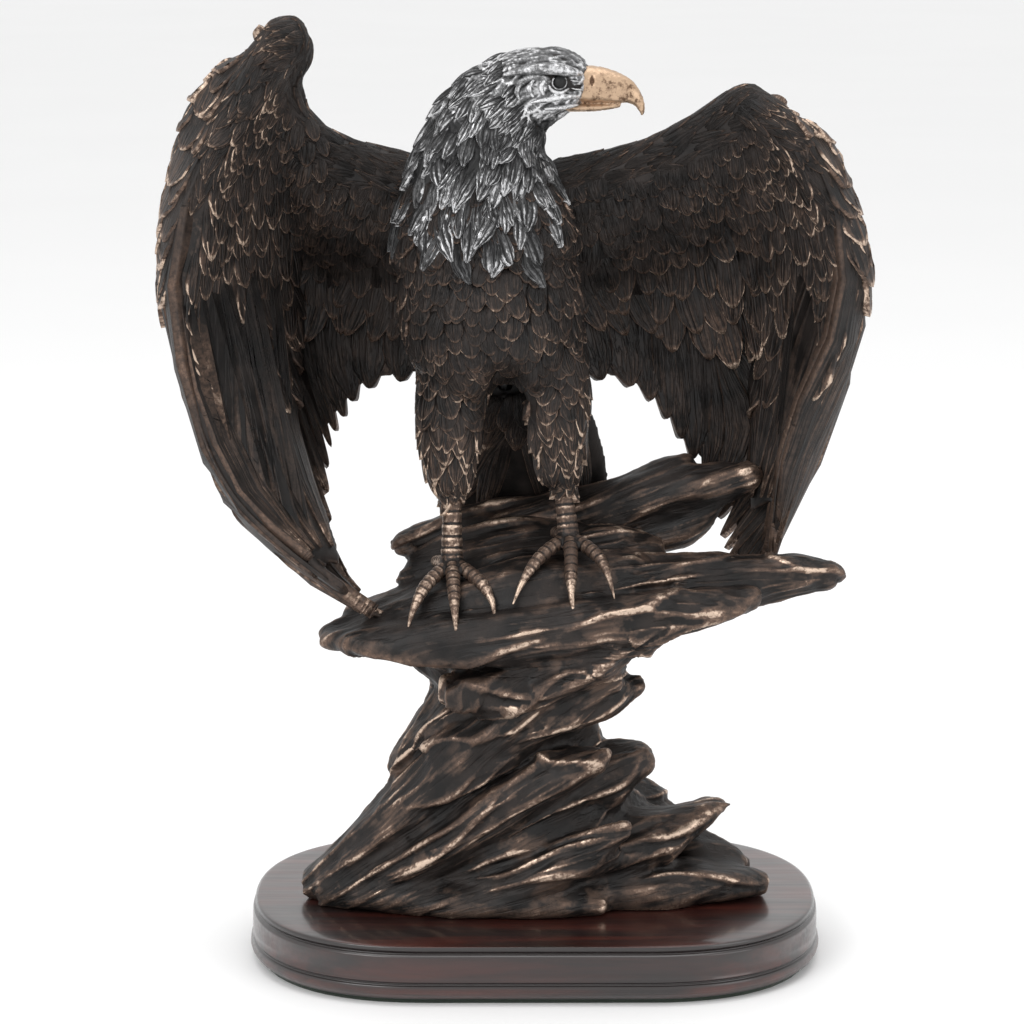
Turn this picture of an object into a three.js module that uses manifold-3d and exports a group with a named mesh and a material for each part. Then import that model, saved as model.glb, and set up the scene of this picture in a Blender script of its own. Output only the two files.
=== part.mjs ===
// A perched eagle statuette, cast in sections and pinned together on a driftwood-shaped base,
// which two screws hold to an oval wooden plinth. Millimetres, +Z up. The eagle faces -Y, and left
// and right are the viewer's. The origin is the middle of the plinth's felt underside.
import * as THREE from "three";
import { mergeVertices } from "three/addons/utils/BufferGeometryUtils.js";
import Module from "manifold-3d";

const wasm = await Module();
wasm.setup();

// Driving dimensions.
const PLINTH_LENGTH = 218;
const PLINTH_DEPTH = 142;
const PLINTH_SQUARENESS = 2.35; // 2 makes half-round ends, more makes fuller ones
const PLINTH_TOP = 22;
const FELT_THICKNESS = 1.5;
const FELT_INSET = 4;
const JOINT_GAP = 0.35; // between two castings that meet
const STUMP_JOINT_HEIGHT = 117; // where the perch casting sits on the stump casting
const WING_EDGE_THICK = 6; // shell at the leading edge
const WING_TRAIL_THICK = 3.2; // shell at the trailing edge
const DOWEL_RADIUS = 2;
const STOUT_DOWEL_RADIUS = 3;
const LEG_ROD_RADIUS = 1.5;
const BORE_CLEARANCE = 0.3;
const SCREW_X = 46; // each side of the middle
const SCREW_RADIUS = 2.5;
const SCREW_HEAD_RADIUS = 4.6;
const SCREW_TIP_HEIGHT = 38;
const WASHER_RADIUS = 7.5;
const WASHER_THICKNESS = 1.2;
const COUNTERBORE_RADIUS = 9;
const COUNTERBORE_ROOF = 10;
const BOSS_RADIUS = 8;
const BOSS_TOP = 46;

const DEPTH = new THREE.Vector3(0, 1, 0);
const ACROSS = new THREE.Vector3(1, 0, 0);
const UP = new THREE.Vector3(0, 0, 1);

// ---- Solids from geometry ----

// A closed geometry as a manifold solid whose faces point out.
function solid(geometry) {
  const bare = new THREE.BufferGeometry().setAttribute("position", geometry.getAttribute("position"));
  if (geometry.index) bare.setIndex(geometry.index);
  const merged = mergeVertices(bare, 1e-4);
  const triVerts = new Uint32Array(merged.index.array);
  const make = () =>
    new wasm.Manifold(
      new wasm.Mesh({ numProp: 3, vertProperties: merged.getAttribute("position").array, triVerts }),
    );
  const made = make();
  if (made.volume() > 0) return made;
  for (let i = 0; i < triVerts.length; i += 3) {
    [triVerts[i + 1], triVerts[i + 2]] = [triVerts[i + 2], triVerts[i + 1]];
  }
  return make();
}

// The largest of the bodies that a cut leaves.
function largest(cut) {
  return cut.decompose().reduce((a, b) => (b.volume() > a.volume() ? b : a));
}

function join(solids) {
  return solids.reduce((a, b) => a.add(b));
}

function cutBy(body, tools) {
  return largest(tools.reduce((left, tool) => left.subtract(tool), body));
}

// A capped tube whose every vertex is set by place(row, angle, reach). Reach is 0 at a cap's
// middle and 1 on the ring.
function skin(rows, sides, place) {
  const geometry = new THREE.CylinderGeometry(1, 1, 1, sides, rows - 1);
  const points = geometry.getAttribute("position");
  for (let i = 0; i < points.count; i++) {
    const [x, y, z] = [points.getX(i), points.getY(i), points.getZ(i)];
    const row = Math.round((0.5 - y) * (rows - 1));
    const p = place(row, Math.atan2(x, z), Math.hypot(x, z));
    points.setXYZ(i, p.x, p.y, p.z);
  }
  return solid(geometry);
}

// A smooth body along stations [x, y, z, half width, half depth]. The half depth lies along
// reference as nearly as the path lets it. Grow makes it fatter and longer, as a cutting tool.
function loft(stations, { rows = 9, sides = 12, grow = 0, reference = DEPTH } = {}) {
  const path = new THREE.CatmullRomCurve3(stations.map(([x, y, z]) => new THREE.Vector3(x, y, z)));
  const sizes = new THREE.SplineCurve(stations.map((s) => new THREE.Vector2(s[3], s[4])));
  return skin(rows, sides, (row, angle, reach) => {
    const t = row / (rows - 1);
    const tangent = path.getTangent(t);
    const side = new THREE.Vector3().crossVectors(reference, tangent).normalize();
    const front = new THREE.Vector3().crossVectors(tangent, side);
    const size = sizes.getPoint(t);
    const end = row === 0 ? -grow : row === rows - 1 ? grow : 0;
    return path
      .getPoint(t)
      .addScaledVector(tangent, end)
      .addScaledVector(side, Math.cos(angle) * reach * (Math.max(size.x, 0.3) + grow))
      .addScaledVector(front, Math.sin(angle) * reach * (Math.max(size.y, 0.3) + grow));
  });
}

// A round bar from one point to another, lengthened at both ends by extra.
function bar(from, to, radius, extra = 0, sides = 16) {
  const [a, b] = [new THREE.Vector3(...from), new THREE.Vector3(...to)];
  const along = b.clone().sub(a);
  const geometry = new THREE.CylinderGeometry(radius, radius, along.length() + 2 * extra, sides);
  const turn = new THREE.Quaternion().setFromUnitVectors(DEPTH, along.normalize());
  const middle = new THREE.Vector3(...from).add(new THREE.Vector3(...to)).multiplyScalar(0.5);
  const placing = new THREE.Matrix4().compose(middle, turn, new THREE.Vector3(1, 1, 1));
  return solid(geometry.applyMatrix4(placing));
}

// Everything above or below a height, as a big block.
function block(low, high) {
  const side = 400;
  const geometry = new THREE.BoxGeometry(side, side, high - low);
  return solid(geometry.translate(0, 0, (low + high) / 2));
}

// ---- Plinth, felt and screws ----

// A stack of outlines [inset, height]: straight front and back, and full rounded ends.
function stadium(outlines) {
  const straight = (PLINTH_LENGTH - PLINTH_DEPTH) / 2;
  const fuller = (v) => Math.sign(v) * Math.abs(v) ** (2 / PLINTH_SQUARENESS);
  return skin(outlines.length, 56, (row, angle, reach) => {
    const [inset, height] = outlines[row];
    const radius = (PLINTH_DEPTH / 2 - inset) * reach;
    const shift = reach > 0.5 ? Math.sign(Math.cos(angle)) * straight : 0;
    return new THREE.Vector3(
      fuller(Math.cos(angle)) * radius + shift,
      fuller(Math.sin(angle)) * radius,
      height,
    );
  });
}

function plinth() {
  const underside = FELT_THICKNESS + JOINT_GAP;
  const block = stadium([
    [4.5, PLINTH_TOP],
    [2.8, PLINTH_TOP - 0.5],
    [2.0, PLINTH_TOP - 1.8],
    [2.4, PLINTH_TOP - 2.8],
    [1.4, PLINTH_TOP - 3.6],
    [1.0, 9],
    [1.9, 7.9],
    [0.4, 6.9],
    [0, 5.2],
    [0.5, 3.2],
    [2.4, underside],
  ]);
  const holes = [-SCREW_X, SCREW_X].map((x) => {
    const shank = bar([x, 0, 0], [x, 0, PLINTH_TOP + 2], SCREW_RADIUS + BORE_CLEARANCE);
    return shank.add(bar([x, 0, 0], [x, 0, COUNTERBORE_ROOF], COUNTERBORE_RADIUS, 0, 24));
  });
  return cutBy(block, holes);
}

function feltPad() {
  return stadium([
    [FELT_INSET, FELT_THICKNESS],
    [FELT_INSET, 0],
  ]);
}

// A flat-ended machine screw, its head down in the plinth's counterbore.
function plinthScrew(x) {
  const headTop = COUNTERBORE_ROOF - WASHER_THICKNESS - 2 * BORE_CLEARANCE;
  const headLow = headTop - 4;
  const outline = [
    [0, headLow],
    [SCREW_HEAD_RADIUS - 0.8, headLow],
    [SCREW_HEAD_RADIUS, headLow + 0.8],
    [SCREW_HEAD_RADIUS, headTop],
    [SCREW_RADIUS, headTop],
    [SCREW_RADIUS, SCREW_TIP_HEIGHT - 1.5],
    [SCREW_RADIUS - 1, SCREW_TIP_HEIGHT],
    [0, SCREW_TIP_HEIGHT],
  ].map(([r, z]) => new THREE.Vector2(r, z));
  const screw = solid(new THREE.LatheGeometry(outline, 20).rotateX(Math.PI / 2).translate(x, 0, 0));
  const slot = new THREE.BoxGeometry(2 * SCREW_HEAD_RADIUS + 2, 1.4, 3).translate(x, 0, headLow);
  return cutBy(screw, [solid(slot)]);
}

function screwWasher(x) {
  const top = COUNTERBORE_ROOF - BORE_CLEARANCE;
  const hole = SCREW_RADIUS + BORE_CLEARANCE;
  const outline = [
    [hole, top - WASHER_THICKNESS],
    [WASHER_RADIUS, top - WASHER_THICKNESS],
    [WASHER_RADIUS, top],
    [hole, top],
    [hole, top - WASHER_THICKNESS],
  ].map(([r, z]) => new THREE.Vector2(r, z));
  return solid(new THREE.LatheGeometry(outline, 20).rotateX(Math.PI / 2).translate(x, 0, 0));
}

// ---- Driftwood base: stump, perch and rear branch ----

const STUMP_CORE = [
  [-2, -1, PLINTH_TOP + JOINT_GAP, 86, 34],
  [-6, 0, 31, 72, 33],
  [-9, 0, 48, 53, 31],
  [-10, 0, 64, 44, 29],
  [-10, 0, 80, 37, 27],
  [-8, 0, 97, 36, 27],
  [-9, -2, 110, 40, 29],
  [-10, -2, 124, 46, 30],
];
const STUMP_STRANDS = [
  // the long sweep from the left foot up to the right of the waist
  [
    [-86, -5, 25, 5, 9],
    [-69, -12, 37, 9, 14],
    [-41, -18, 65, 12, 15],
    [-13, -22, 92, 12, 15],
    [16, -26, 110, 11, 14],
    [33, -28, 119, 7, 10],
  ],
  // the front sweep that ends in a round knob
  [
    [-78, -12, 25, 4, 8],
    [-51, -21, 38, 9, 12],
    [-21, -26, 58, 10, 12],
    [9, -28, 77, 8, 10],
    [24, -30, 83, 5.5, 6],
  ],
  // the low front nub
  [
    [-24, -22, 26, 6, 12],
    [-2, -27, 33, 9, 12],
    [17, -31, 42, 7, 9],
    [29, -33, 51, 3.5, 4],
  ],
  // the sharp spike on the right
  [
    [4, -10, 34, 14, 20],
    [38, -10, 44, 11, 16],
    [60, -10, 54, 6, 10],
    [72, -10, 59, 1.2, 2],
  ],
  // the blunt block above it
  [
    [4, -6, 60, 16, 18],
    [24, -10, 70, 13, 14],
    [36, -12, 76, 9, 10],
    [42, -12, 79, 5, 7],
  ],
  // the low mound at the right foot
  [
    [18, -14, 27, 6, 16],
    [50, -12, 28, 7, 16],
    [76, -9, 28, 5.5, 10],
    [89, -7, 26, 3, 5],
  ],
  // the stub under the perch
  [
    [-38, -16, 86, 8, 12],
    [-6, -22, 95, 11, 13],
    [24, -22, 102, 7, 9],
    [37, -21, 105, 3, 4],
  ],
  // the splinter on the left of the waist
  [
    [-57, -8, 70, 1.2, 2],
    [-46, -8, 80, 6, 8],
    [-32, -10, 100, 8, 10],
  ],
];
const STUMP_HOLLOW = [
  [-4, -1, 20, 62, 22],
  [-8, 0, 48, 36, 17],
  [-9, 0, 84, 22, 14],
  [-8, 0, 98, 17, 11],
];

// A driftwood limb is a flattened loft with a low side count, so that its ridges read as split wood.
function limb(stations, grow = 0) {
  return loft(stations, { rows: 8, sides: 8, grow });
}

function stumpForm() {
  const strands = STUMP_STRANDS.map((stations) => limb(stations));
  const whole = join([loft(STUMP_CORE, { rows: 9, sides: 18 }), ...strands]);
  return whole.intersect(block(PLINTH_TOP + JOINT_GAP, STUMP_JOINT_HEIGHT - JOINT_GAP / 2));
}

function stump(bores) {
  const bosses = [-SCREW_X, SCREW_X].map((x) =>
    bar([x, 0, PLINTH_TOP + JOINT_GAP], [x, 0, BOSS_TOP], BOSS_RADIUS),
  );
  const hollow = loft(STUMP_HOLLOW, { rows: 7, sides: 16 });
  const form = stumpForm();
  const shell = form.subtract(hollow).add(join(bosses).intersect(form));
  const screwHoles = [-SCREW_X, SCREW_X].map((x) =>
    bar([x, 0, PLINTH_TOP - 4], [x, 0, SCREW_TIP_HEIGHT + 2], SCREW_RADIUS + BORE_CLEARANCE),
  );
  return cutBy(shell, [...screwHoles, ...bores]);
}

const PERCH_LIMBS = [
  // the mound that carries the feet, and its long right-hand finger
  [
    [-80, -18, 125, 2.5, 4],
    [-60, -12, 127, 10, 16],
    [-35, -14, 135, 14, 22],
    [0, -14, 141, 16, 24],
    [30, -12, 142, 15, 20],
    [60, -12, 144, 12, 14],
    [86, -13, 147, 8.5, 10],
    [103, -13, 148.5, 7, 8],
    [110, -13, 148.5, 5.5, 6],
  ],
  // the front lip and its short finger
  [
    [-79, -20, 124, 3, 5],
    [-60, -30, 126, 8, 12],
    [-30, -35, 130, 10.5, 13],
    [0, -36, 132, 11, 13],
    [20, -36, 135, 11, 13],
    [45, -34, 139, 10, 12],
    [66, -31, 141, 7.5, 9],
    [77, -29, 142.5, 4.5, 5],
  ],
  // the underside that runs down into the stump
  [
    [-60, -12, 120, 6, 12],
    [-30, -12, 122, 12, 20],
    [0, -12, 123, 14, 22],
    [26, -14, 127, 14, 18],
    [48, -14, 135, 8, 13],
  ],
  // the crest behind the feet
  [
    [-50, 2, 140, 5, 6],
    [-34, 4, 148, 12, 12],
    [-8, 6, 152, 15, 13],
    [22, 5, 154, 12, 12],
    [48, 2, 154, 6, 8],
  ],
];

function perchForm(grow = 0) {
  return join(PERCH_LIMBS.map((stations) => limb(stations, grow)));
}

const BRANCH_LIMBS = [
  // the log, from its thin left end to the lower prong
  [
    [-50, 10, 152, 3.5, 4],
    [-36, 15, 157, 8, 8],
    [-8, 20, 160, 11, 10],
    [22, 18, 165, 13, 11],
    [48, 13, 173, 12, 10],
    [68, 9, 178.5, 9.5, 8],
    [81, 7, 183, 6.5, 5.5],
  ],
  // the upper prong
  [
    [4, 22, 165, 8, 8],
    [25, 22, 170, 10, 8],
    [46, 18, 179, 9, 7],
    [62, 14, 186, 5.5, 5],
  ],
  // the dark rib under the prongs
  [
    [14, 16, 155, 5, 7],
    [36, 14, 158, 8, 8],
    [56, 11, 163, 8, 7],
    [69, 9, 171, 4, 5],
  ],
];

function branchForm(grow = 0) {
  return join(BRANCH_LIMBS.map((stations) => limb(stations, grow)));
}

// ---- The eagle ----

const TORSO = [
  [-18, 2, 298, 9, 9],
  [-18, 1, 290, 20, 17],
  [-18, 0, 279, 27.5, 24],
  [-18, -1, 267, 31, 27],
  [-17, -3, 250, 33.5, 30],
  [-15, -2, 234, 31.5, 28],
  [-14, 1, 223, 25, 22],
  [-13, 5, 214, 14, 12],
];
const NECK_AND_HEAD = [
  [18, -2, 330, 7, 6.5],
  [12, -1, 331, 11.5, 10.5],
  [3, 0, 330, 14, 12.5],
  [-9, 1, 324, 17.5, 15],
  [-18.5, 2, 310, 22, 19],
  [-20, 2, 293, 28, 24],
  [-19, 0, 277, 33, 29],
  [-18, -1, 266, 35, 31.5],
];
const UPPER_BEAK = [
  [12, -1, 330.5, 6.5, 5.5],
  [18, -1.5, 330.5, 7, 6],
  [27, -2.5, 330, 6.4, 4.8],
  [34, -3.2, 326.5, 4.6, 3.4],
  [38, -3.8, 321.5, 2.4, 1.9],
  [38.5, -4, 317.5, 0.7, 0.7],
];
const LOWER_BEAK = [
  [10, -1, 322.5, 2.4, 4.4],
  [20, -2, 322.5, 2, 3.6],
  [31, -3, 324, 1.3, 1.8],
];
const TAIL = [
  [-10, 10, 222, 22, 9],
  [-7, 18, 206, 27, 7.5],
  [-5, 25, 190, 31, 6],
  [-4, 30, 174, 33, 4.5],
  [-4, 32, 162, 33, 3],
];
const LEFT_THIGH = [
  [-29, 0, 240, 12, 13],
  [-30.5, -5, 218, 13, 13.5],
  [-32, -9, 201, 11, 11.5],
  [-32, -12, 189, 9, 9.5],
  [-31, -13, 181, 6.5, 7],
];
const RIGHT_THIGH = [
  [6, 0, 240, 11, 13],
  [7.5, -5, 218, 12, 13],
  [8.5, -9, 202, 10.5, 11],
  [9, -10, 191, 8.8, 9.2],
  [9.5, -11, 184, 6.5, 7],
];

// A shank and its four toes. The toes start at the ankle and end in claws.
const LEFT_FOOT = {
  shank: [[-31, -12.5, 187, 4.2], [-31, -15.5, 172, 4], [-31, -18.5, 158, 4.6], [-31, -20, 154, 4.8]],
  toes: [
    [[-32, -20, 154], [-37, -26, 151.5], [-41.5, -32, 147.5], [-45, -38, 141], [-47, -41, 134.5]],
    [[-31, -20, 155], [-30.5, -28, 152], [-30, -36, 146.5], [-29.5, -43, 140.5], [-29, -46, 132.5]],
    [[-30, -20, 154], [-25, -26, 153], [-20, -32, 150], [-16, -38, 144.5], [-15, -41, 137.5]],
    [[-32, -19, 155], [-34, -15, 154], [-36.5, -9, 153], [-38, -4, 152], [-39, -1, 150]],
  ],
};
const RIGHT_FOOT = {
  shank: [[9.7, -10.5, 190, 4.1], [10.8, -13, 178, 3.9], [12, -15.5, 167, 4.4], [12.3, -17, 163, 4.6]],
  toes: [
    [[12, -17, 163], [6, -23, 161.5], [0, -30, 157.5], [-5, -36, 151], [-8.5, -39.5, 143.5]],
    [[12.5, -17, 164], [13, -26, 160.5], [13, -35, 154], [13, -41, 148], [14, -45, 140]],
    [[13, -17, 163], [18.5, -23, 162], [23.5, -30, 159], [26.5, -36, 154], [29, -39.5, 145.5]],
    [[12, -16, 164], [10, -12, 164], [8, -6, 163.5], [7, -1, 162], [6.5, 2, 160]],
  ],
};
const TOE_RADII = [3.6, 3.3, 2.9, 2.2, 0.5];

function footForm({ shank, toes }, grow = 0) {
  const leg = loft(shank.map(([x, y, z, r]) => [x, y, z, r, r]), { rows: 5, sides: 10, grow });
  const claws = toes.map((points) => {
    const stations = points.map((p, i) => [...p, TOE_RADII[i], TOE_RADII[i]]);
    return loft(stations, { rows: 7, sides: 7, grow, reference: ACROSS });
  });
  return join([leg, ...claws]);
}

function beakForm() {
  return loft(UPPER_BEAK, { rows: 9, sides: 10 }).add(loft(LOWER_BEAK, { rows: 5, sides: 8 }));
}

// Each wing is a cupped shell on ribs that run from the leading edge to the trailing edge, from
// the shoulder out over the wrist and down to the tip, with the arm along the leading edge.
const LEFT_WING = {
  ribs: [
    [[-38, 10, 301], [-38, 14, 280], [-38, 16, 256], [-38, 16, 235], [-36, 15, 218]],
    [[-66, 8, 308], [-71, 24, 283], [-71, 33, 255], [-68, 33, 230], [-62, 28, 211]],
    [[-92, 2, 322], [-95, 24, 288], [-93, 37, 252], [-84, 38, 223], [-72, 31, 199]],
    [[-91, -6, 346], [-109, 8, 325], [-109, 32, 272], [-96, 41, 228], [-77, 30, 186]],
    [[-103, -18, 336], [-124, -2, 321], [-128, 25, 271], [-106, 38, 221], [-78, 22, 170]],
    [[-115, -27, 305], [-133, -6, 286], [-132, 19, 240], [-113, 30, 195], [-75, 9, 158]],
    [[-119, -31, 273], [-134, -12, 258], [-127, 9, 215], [-106, 18, 179], [-70, -2, 147]],
    [[-117, -33, 237], [-125, -16, 227], [-118, -2, 198], [-96, 2, 166], [-62, -13, 140]],
    [[-99, -37, 185], [-108, -24, 182], [-101, -16, 166], [-82, -16, 150], [-57, -20, 136]],
    [[-62, -34, 144], [-60, -32, 141], [-57, -30, 139], [-54, -28, 137], [-52, -27, 136]],
  ],
  upperArm: [
    [-36, 8, 291, 11, 10],
    [-56, 9, 297, 9, 8.5],
    [-74, 7, 303, 8, 7.5],
    [-88, 2, 315, 7, 7],
    [-94, -2, 329, 6.5, 6.5],
    [-89, -5, 342, 8, 8],
    [-87, -6, 349, 6.5, 6.5],
  ],
  hand: [
    [-87, -6, 349, 6.5, 6.5],
    [-94, -12, 343, 7.5, 7],
    [-106, -20, 323, 6, 6],
    [-115, -25, 301, 5.2, 5],
    [-118, -28, 272, 4.5, 4.4],
    [-115, -30, 237, 3.8, 3.8],
    [-99, -35, 186, 3, 3],
  ],
};
const RIGHT_WING = {
  ribs: [
    [[6, 10, 301], [7, 14, 280], [8, 16, 256], [10, 16, 235], [12, 15, 218]],
    [[38, 5, 308], [38, 20, 282], [39, 30, 254], [38, 32, 228], [36, 26, 212]],
    [[60, 1, 318], [58, 19, 286], [57, 30, 250], [54, 32, 221], [50, 26, 199]],
    [[78, -5, 328], [77, 14, 292], [73, 28, 246], [68, 32, 207], [60, 28, 183]],
    [[89, -13, 319], [104, 0, 307], [109, 22, 266], [95, 31, 211], [67, 27, 169]],
    [[97, -21, 295], [115, -6, 283], [117, 14, 241], [102, 24, 197], [69, 22, 158]],
    [[101, -23, 271], [119, -9, 262], [118, 7, 230], [106, 14, 189], [70, 17, 151]],
    [[104, -19, 241], [114, -8, 233], [111, 2, 212], [100, 9, 177], [71, 14, 146]],
    [[97, -7, 196], [102, -4, 192], [99, 2, 174], [92, 6, 157], [75, 11, 143]],
    [[92, 5, 148], [91, 6, 146], [89, 7, 144], [86, 8, 142], [81, 9, 141]],
  ],
  upperArm: [
    [4, 8, 289, 11, 10],
    [20, 9, 293, 9, 9],
    [40, 6, 301, 7.5, 7.5],
    [60, 2, 312, 7, 7],
    [76, -3, 322, 8, 7.5],
    [82, -6, 325, 6, 6],
  ],
  hand: [
    [76, -4, 324, 7, 7],
    [88, -11, 316, 6.5, 6.5],
    [97, -18, 296, 5.4, 5.2],
    [101, -20, 271, 4.5, 4.4],
    [104, -17, 241, 3.8, 3.8],
    [98, -6, 197, 3, 3],
  ],
};
const WING_SPAN_STEPS = 22;
const WING_CHORD_STEPS = 10;

function wingShell(ribs) {
  const curve = (points) => new THREE.CatmullRomCurve3(points);
  const lengthways = ribs.map((rib) => curve(rib.map((p) => new THREE.Vector3(...p))));
  const rails = new Map();
  const point = (s, t) => {
    if (!rails.has(t)) rails.set(t, curve(lengthways.map((rib) => rib.getPoint(t))));
    return rails.get(t).getPoint(s);
  };
  const clamp = (v) => THREE.MathUtils.clamp(v, 0, 1);
  const step = 1e-3;
  const geometry = new THREE.BoxGeometry(1, 1, 1, WING_SPAN_STEPS, WING_CHORD_STEPS, 1);
  const points = geometry.getAttribute("position");
  for (let i = 0; i < points.count; i++) {
    const [s, t] = [points.getX(i) + 0.5, points.getY(i) + 0.5];
    const spanwise = point(clamp(s + step), t).sub(point(clamp(s - step), t));
    const chordwise = point(s, clamp(t + step)).sub(point(s, clamp(t - step)));
    const normal = spanwise.cross(chordwise).normalize();
    const thick = THREE.MathUtils.lerp(WING_EDGE_THICK, WING_TRAIL_THICK, t);
    const p = point(s, t).addScaledVector(normal, points.getZ(i) * thick);
    points.setXYZ(i, p.x, p.y, p.z);
  }
  return solid(geometry);
}

function wingForm({ ribs, upperArm, hand }) {
  const limbs = [loft(upperArm, { rows: 9, sides: 10 }), loft(hand, { rows: 11, sides: 10 })];
  return join([wingShell(ribs), ...limbs]);
}

// ---- Dowels and rods: each runs between two points, inside the castings that it joins ----

const DOWELS = {
  neck_dowel: { from: [-20, 1, 280], to: [-21, 2, 312], radius: STOUT_DOWEL_RADIUS },
  wing_dowel_left: { from: [-28, 6, 284], to: [-62, 10, 298], radius: DOWEL_RADIUS },
  wing_dowel_right: { from: [-6, 6, 284], to: [32, 9, 298], radius: DOWEL_RADIUS },
  tail_dowel: { from: [-12, 5, 224], to: [-10, 18, 206], radius: DOWEL_RADIUS },
  leg_rod_left: { from: [-30, -3, 227], to: [-31, -22, 138], radius: LEG_ROD_RADIUS },
  leg_rod_right: { from: [6.5, 0, 231], to: [13.2, -19, 145], radius: LEG_ROD_RADIUS },
  perch_dowel_left: { from: [-30, -4, 106], to: [-30, -4, 130], radius: STOUT_DOWEL_RADIUS },
  perch_dowel_right: { from: [14, -4, 106], to: [14, -4, 130], radius: STOUT_DOWEL_RADIUS },
  branch_dowel_left: { from: [-22, 4, 148], to: [-16, 19, 160], radius: DOWEL_RADIUS },
  branch_dowel_right: { from: [24, 2, 150], to: [29, 18, 168], radius: DOWEL_RADIUS },
};

function bore(name) {
  const { from, to, radius } = DOWELS[name];
  return bar(from, to, radius + BORE_CLEARANCE, BORE_CLEARANCE);
}

// ---- Materials ----

function finish(color, metalness, roughness) {
  return new THREE.MeshStandardMaterial({ color, metalness, roughness });
}

const BRONZE = finish(0x2e241d, 0.85, 0.45);
const SILVER = finish(0x9b9da0, 0.9, 0.35);
const GOLD = finish(0xc79a5b, 0.9, 0.35);
const WOOD = finish(0x3a1410, 0, 0.25);
const FELT = finish(0x1c2a1e, 0, 1);
const STEEL = finish(0x8c8f92, 1, 0.4);

// ---- Assembly ----

const eagle = new THREE.Group();

function place(name, body, material) {
  const made = body.getMesh();
  const corners = new Float32Array(made.numVert * 3);
  for (let i = 0; i < made.numVert; i++) {
    corners.set(made.vertProperties.subarray(i * made.numProp, i * made.numProp + 3), i * 3);
  }
  const geometry = new THREE.BufferGeometry()
    .setAttribute("position", new THREE.BufferAttribute(corners, 3))
    .setIndex(new THREE.BufferAttribute(new Uint32Array(made.triVerts), 1));
  geometry.computeVertexNormals();
  const mesh = new THREE.Mesh(geometry, material);
  mesh.name = name;
  eagle.add(mesh);
}

place("plinth", plinth(), WOOD);
place("felt_pad", feltPad(), FELT);
for (const [side, x] of [["left", -SCREW_X], ["right", SCREW_X]]) {
  place(`plinth_screw_${side}`, plinthScrew(x), STEEL);
  place(`screw_washer_${side}`, screwWasher(x), STEEL);
}

const perchTool = perchForm(JOINT_GAP);
const branchTool = branchForm(JOINT_GAP);
const torsoTool = loft(TORSO, { rows: 11, sides: 16, grow: JOINT_GAP });
const headTool = loft(NECK_AND_HEAD, { rows: 12, sides: 16, grow: JOINT_GAP });
const stumpBores = ["perch_dowel_left", "perch_dowel_right"].map(bore);
const perchBores = [...stumpBores, ...["branch_dowel_left", "branch_dowel_right"].map(bore)];
const legBores = ["leg_rod_left", "leg_rod_right"].map(bore);
const torsoBores = [
  ...["neck_dowel", "wing_dowel_left", "wing_dowel_right", "tail_dowel"].map(bore),
  ...legBores,
];

place("stump_casting", stump(stumpBores), BRONZE);
const abovePlane = block(STUMP_JOINT_HEIGHT + JOINT_GAP / 2, STUMP_JOINT_HEIGHT + 200);
place("perch_casting", cutBy(perchForm().intersect(abovePlane), [...perchBores, ...legBores]), BRONZE);
place("branch_casting", cutBy(branchForm(), [perchTool, ...perchBores]), BRONZE);
place("torso_casting", cutBy(loft(TORSO, { rows: 11, sides: 16 }), torsoBores), BRONZE);
const headForm = loft(NECK_AND_HEAD, { rows: 12, sides: 16 });
place("head_casting", cutBy(headForm, [torsoTool, bore("neck_dowel"), ...torsoBores.slice(1, 3)]), SILVER);
place("beak", cutBy(beakForm(), [headTool]), GOLD);

for (const [side, foot, thigh] of [
  ["left", LEFT_FOOT, LEFT_THIGH],
  ["right", RIGHT_FOOT, RIGHT_THIGH],
]) {
  const shankTool = footForm(foot, JOINT_GAP);
  const rod = bore(`leg_rod_${side}`);
  place(`foot_${side}`, cutBy(footForm(foot), [perchTool, branchTool, rod]), BRONZE);
  place(`thigh_${side}`, cutBy(loft(thigh, { rows: 7, sides: 12 }), [torsoTool, shankTool, rod]), BRONZE);
}

const thighTools = [LEFT_THIGH, RIGHT_THIGH].map((s) => loft(s, { rows: 7, sides: 12, grow: JOINT_GAP }));
const tailForm = (grow) => loft(TAIL, { rows: 8, sides: 14, grow });
place("tail_casting", cutBy(tailForm(0), [torsoTool, branchTool, ...thighTools, bore("tail_dowel")]), BRONZE);

for (const [side, wing] of [
  ["left", LEFT_WING],
  ["right", RIGHT_WING],
]) {
  const bird = [torsoTool, headTool, ...thighTools, tailForm(JOINT_GAP)];
  const tools = [...bird, perchTool, branchTool, bore(`wing_dowel_${side}`)];
  place(`wing_${side}`, cutBy(wingForm(wing), tools), BRONZE);
}

for (const [name, { from, to, radius }] of Object.entries(DOWELS)) {
  place(name, bar(from, to, radius, 0, 12), STEEL);
}

export default eagle;
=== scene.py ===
"""Feathers, driftwood, plinth and patina of a perched-eagle statuette, built around its CAD frame.

Everything is in metres in the frame's own axes: +Z up, the eagle faces -Y, and left and right are
the viewer's. Tables of places are in millimetres.
"""

import math
import random
from collections import namedtuple

import bmesh
import bpy
import numpy as np
from bpy.props import FloatProperty, FloatVectorProperty, IntProperty, PointerProperty
from mathutils import Matrix, Vector, noise
from mathutils.bvhtree import BVHTree
from mathutils.kdtree import KDTree


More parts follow.
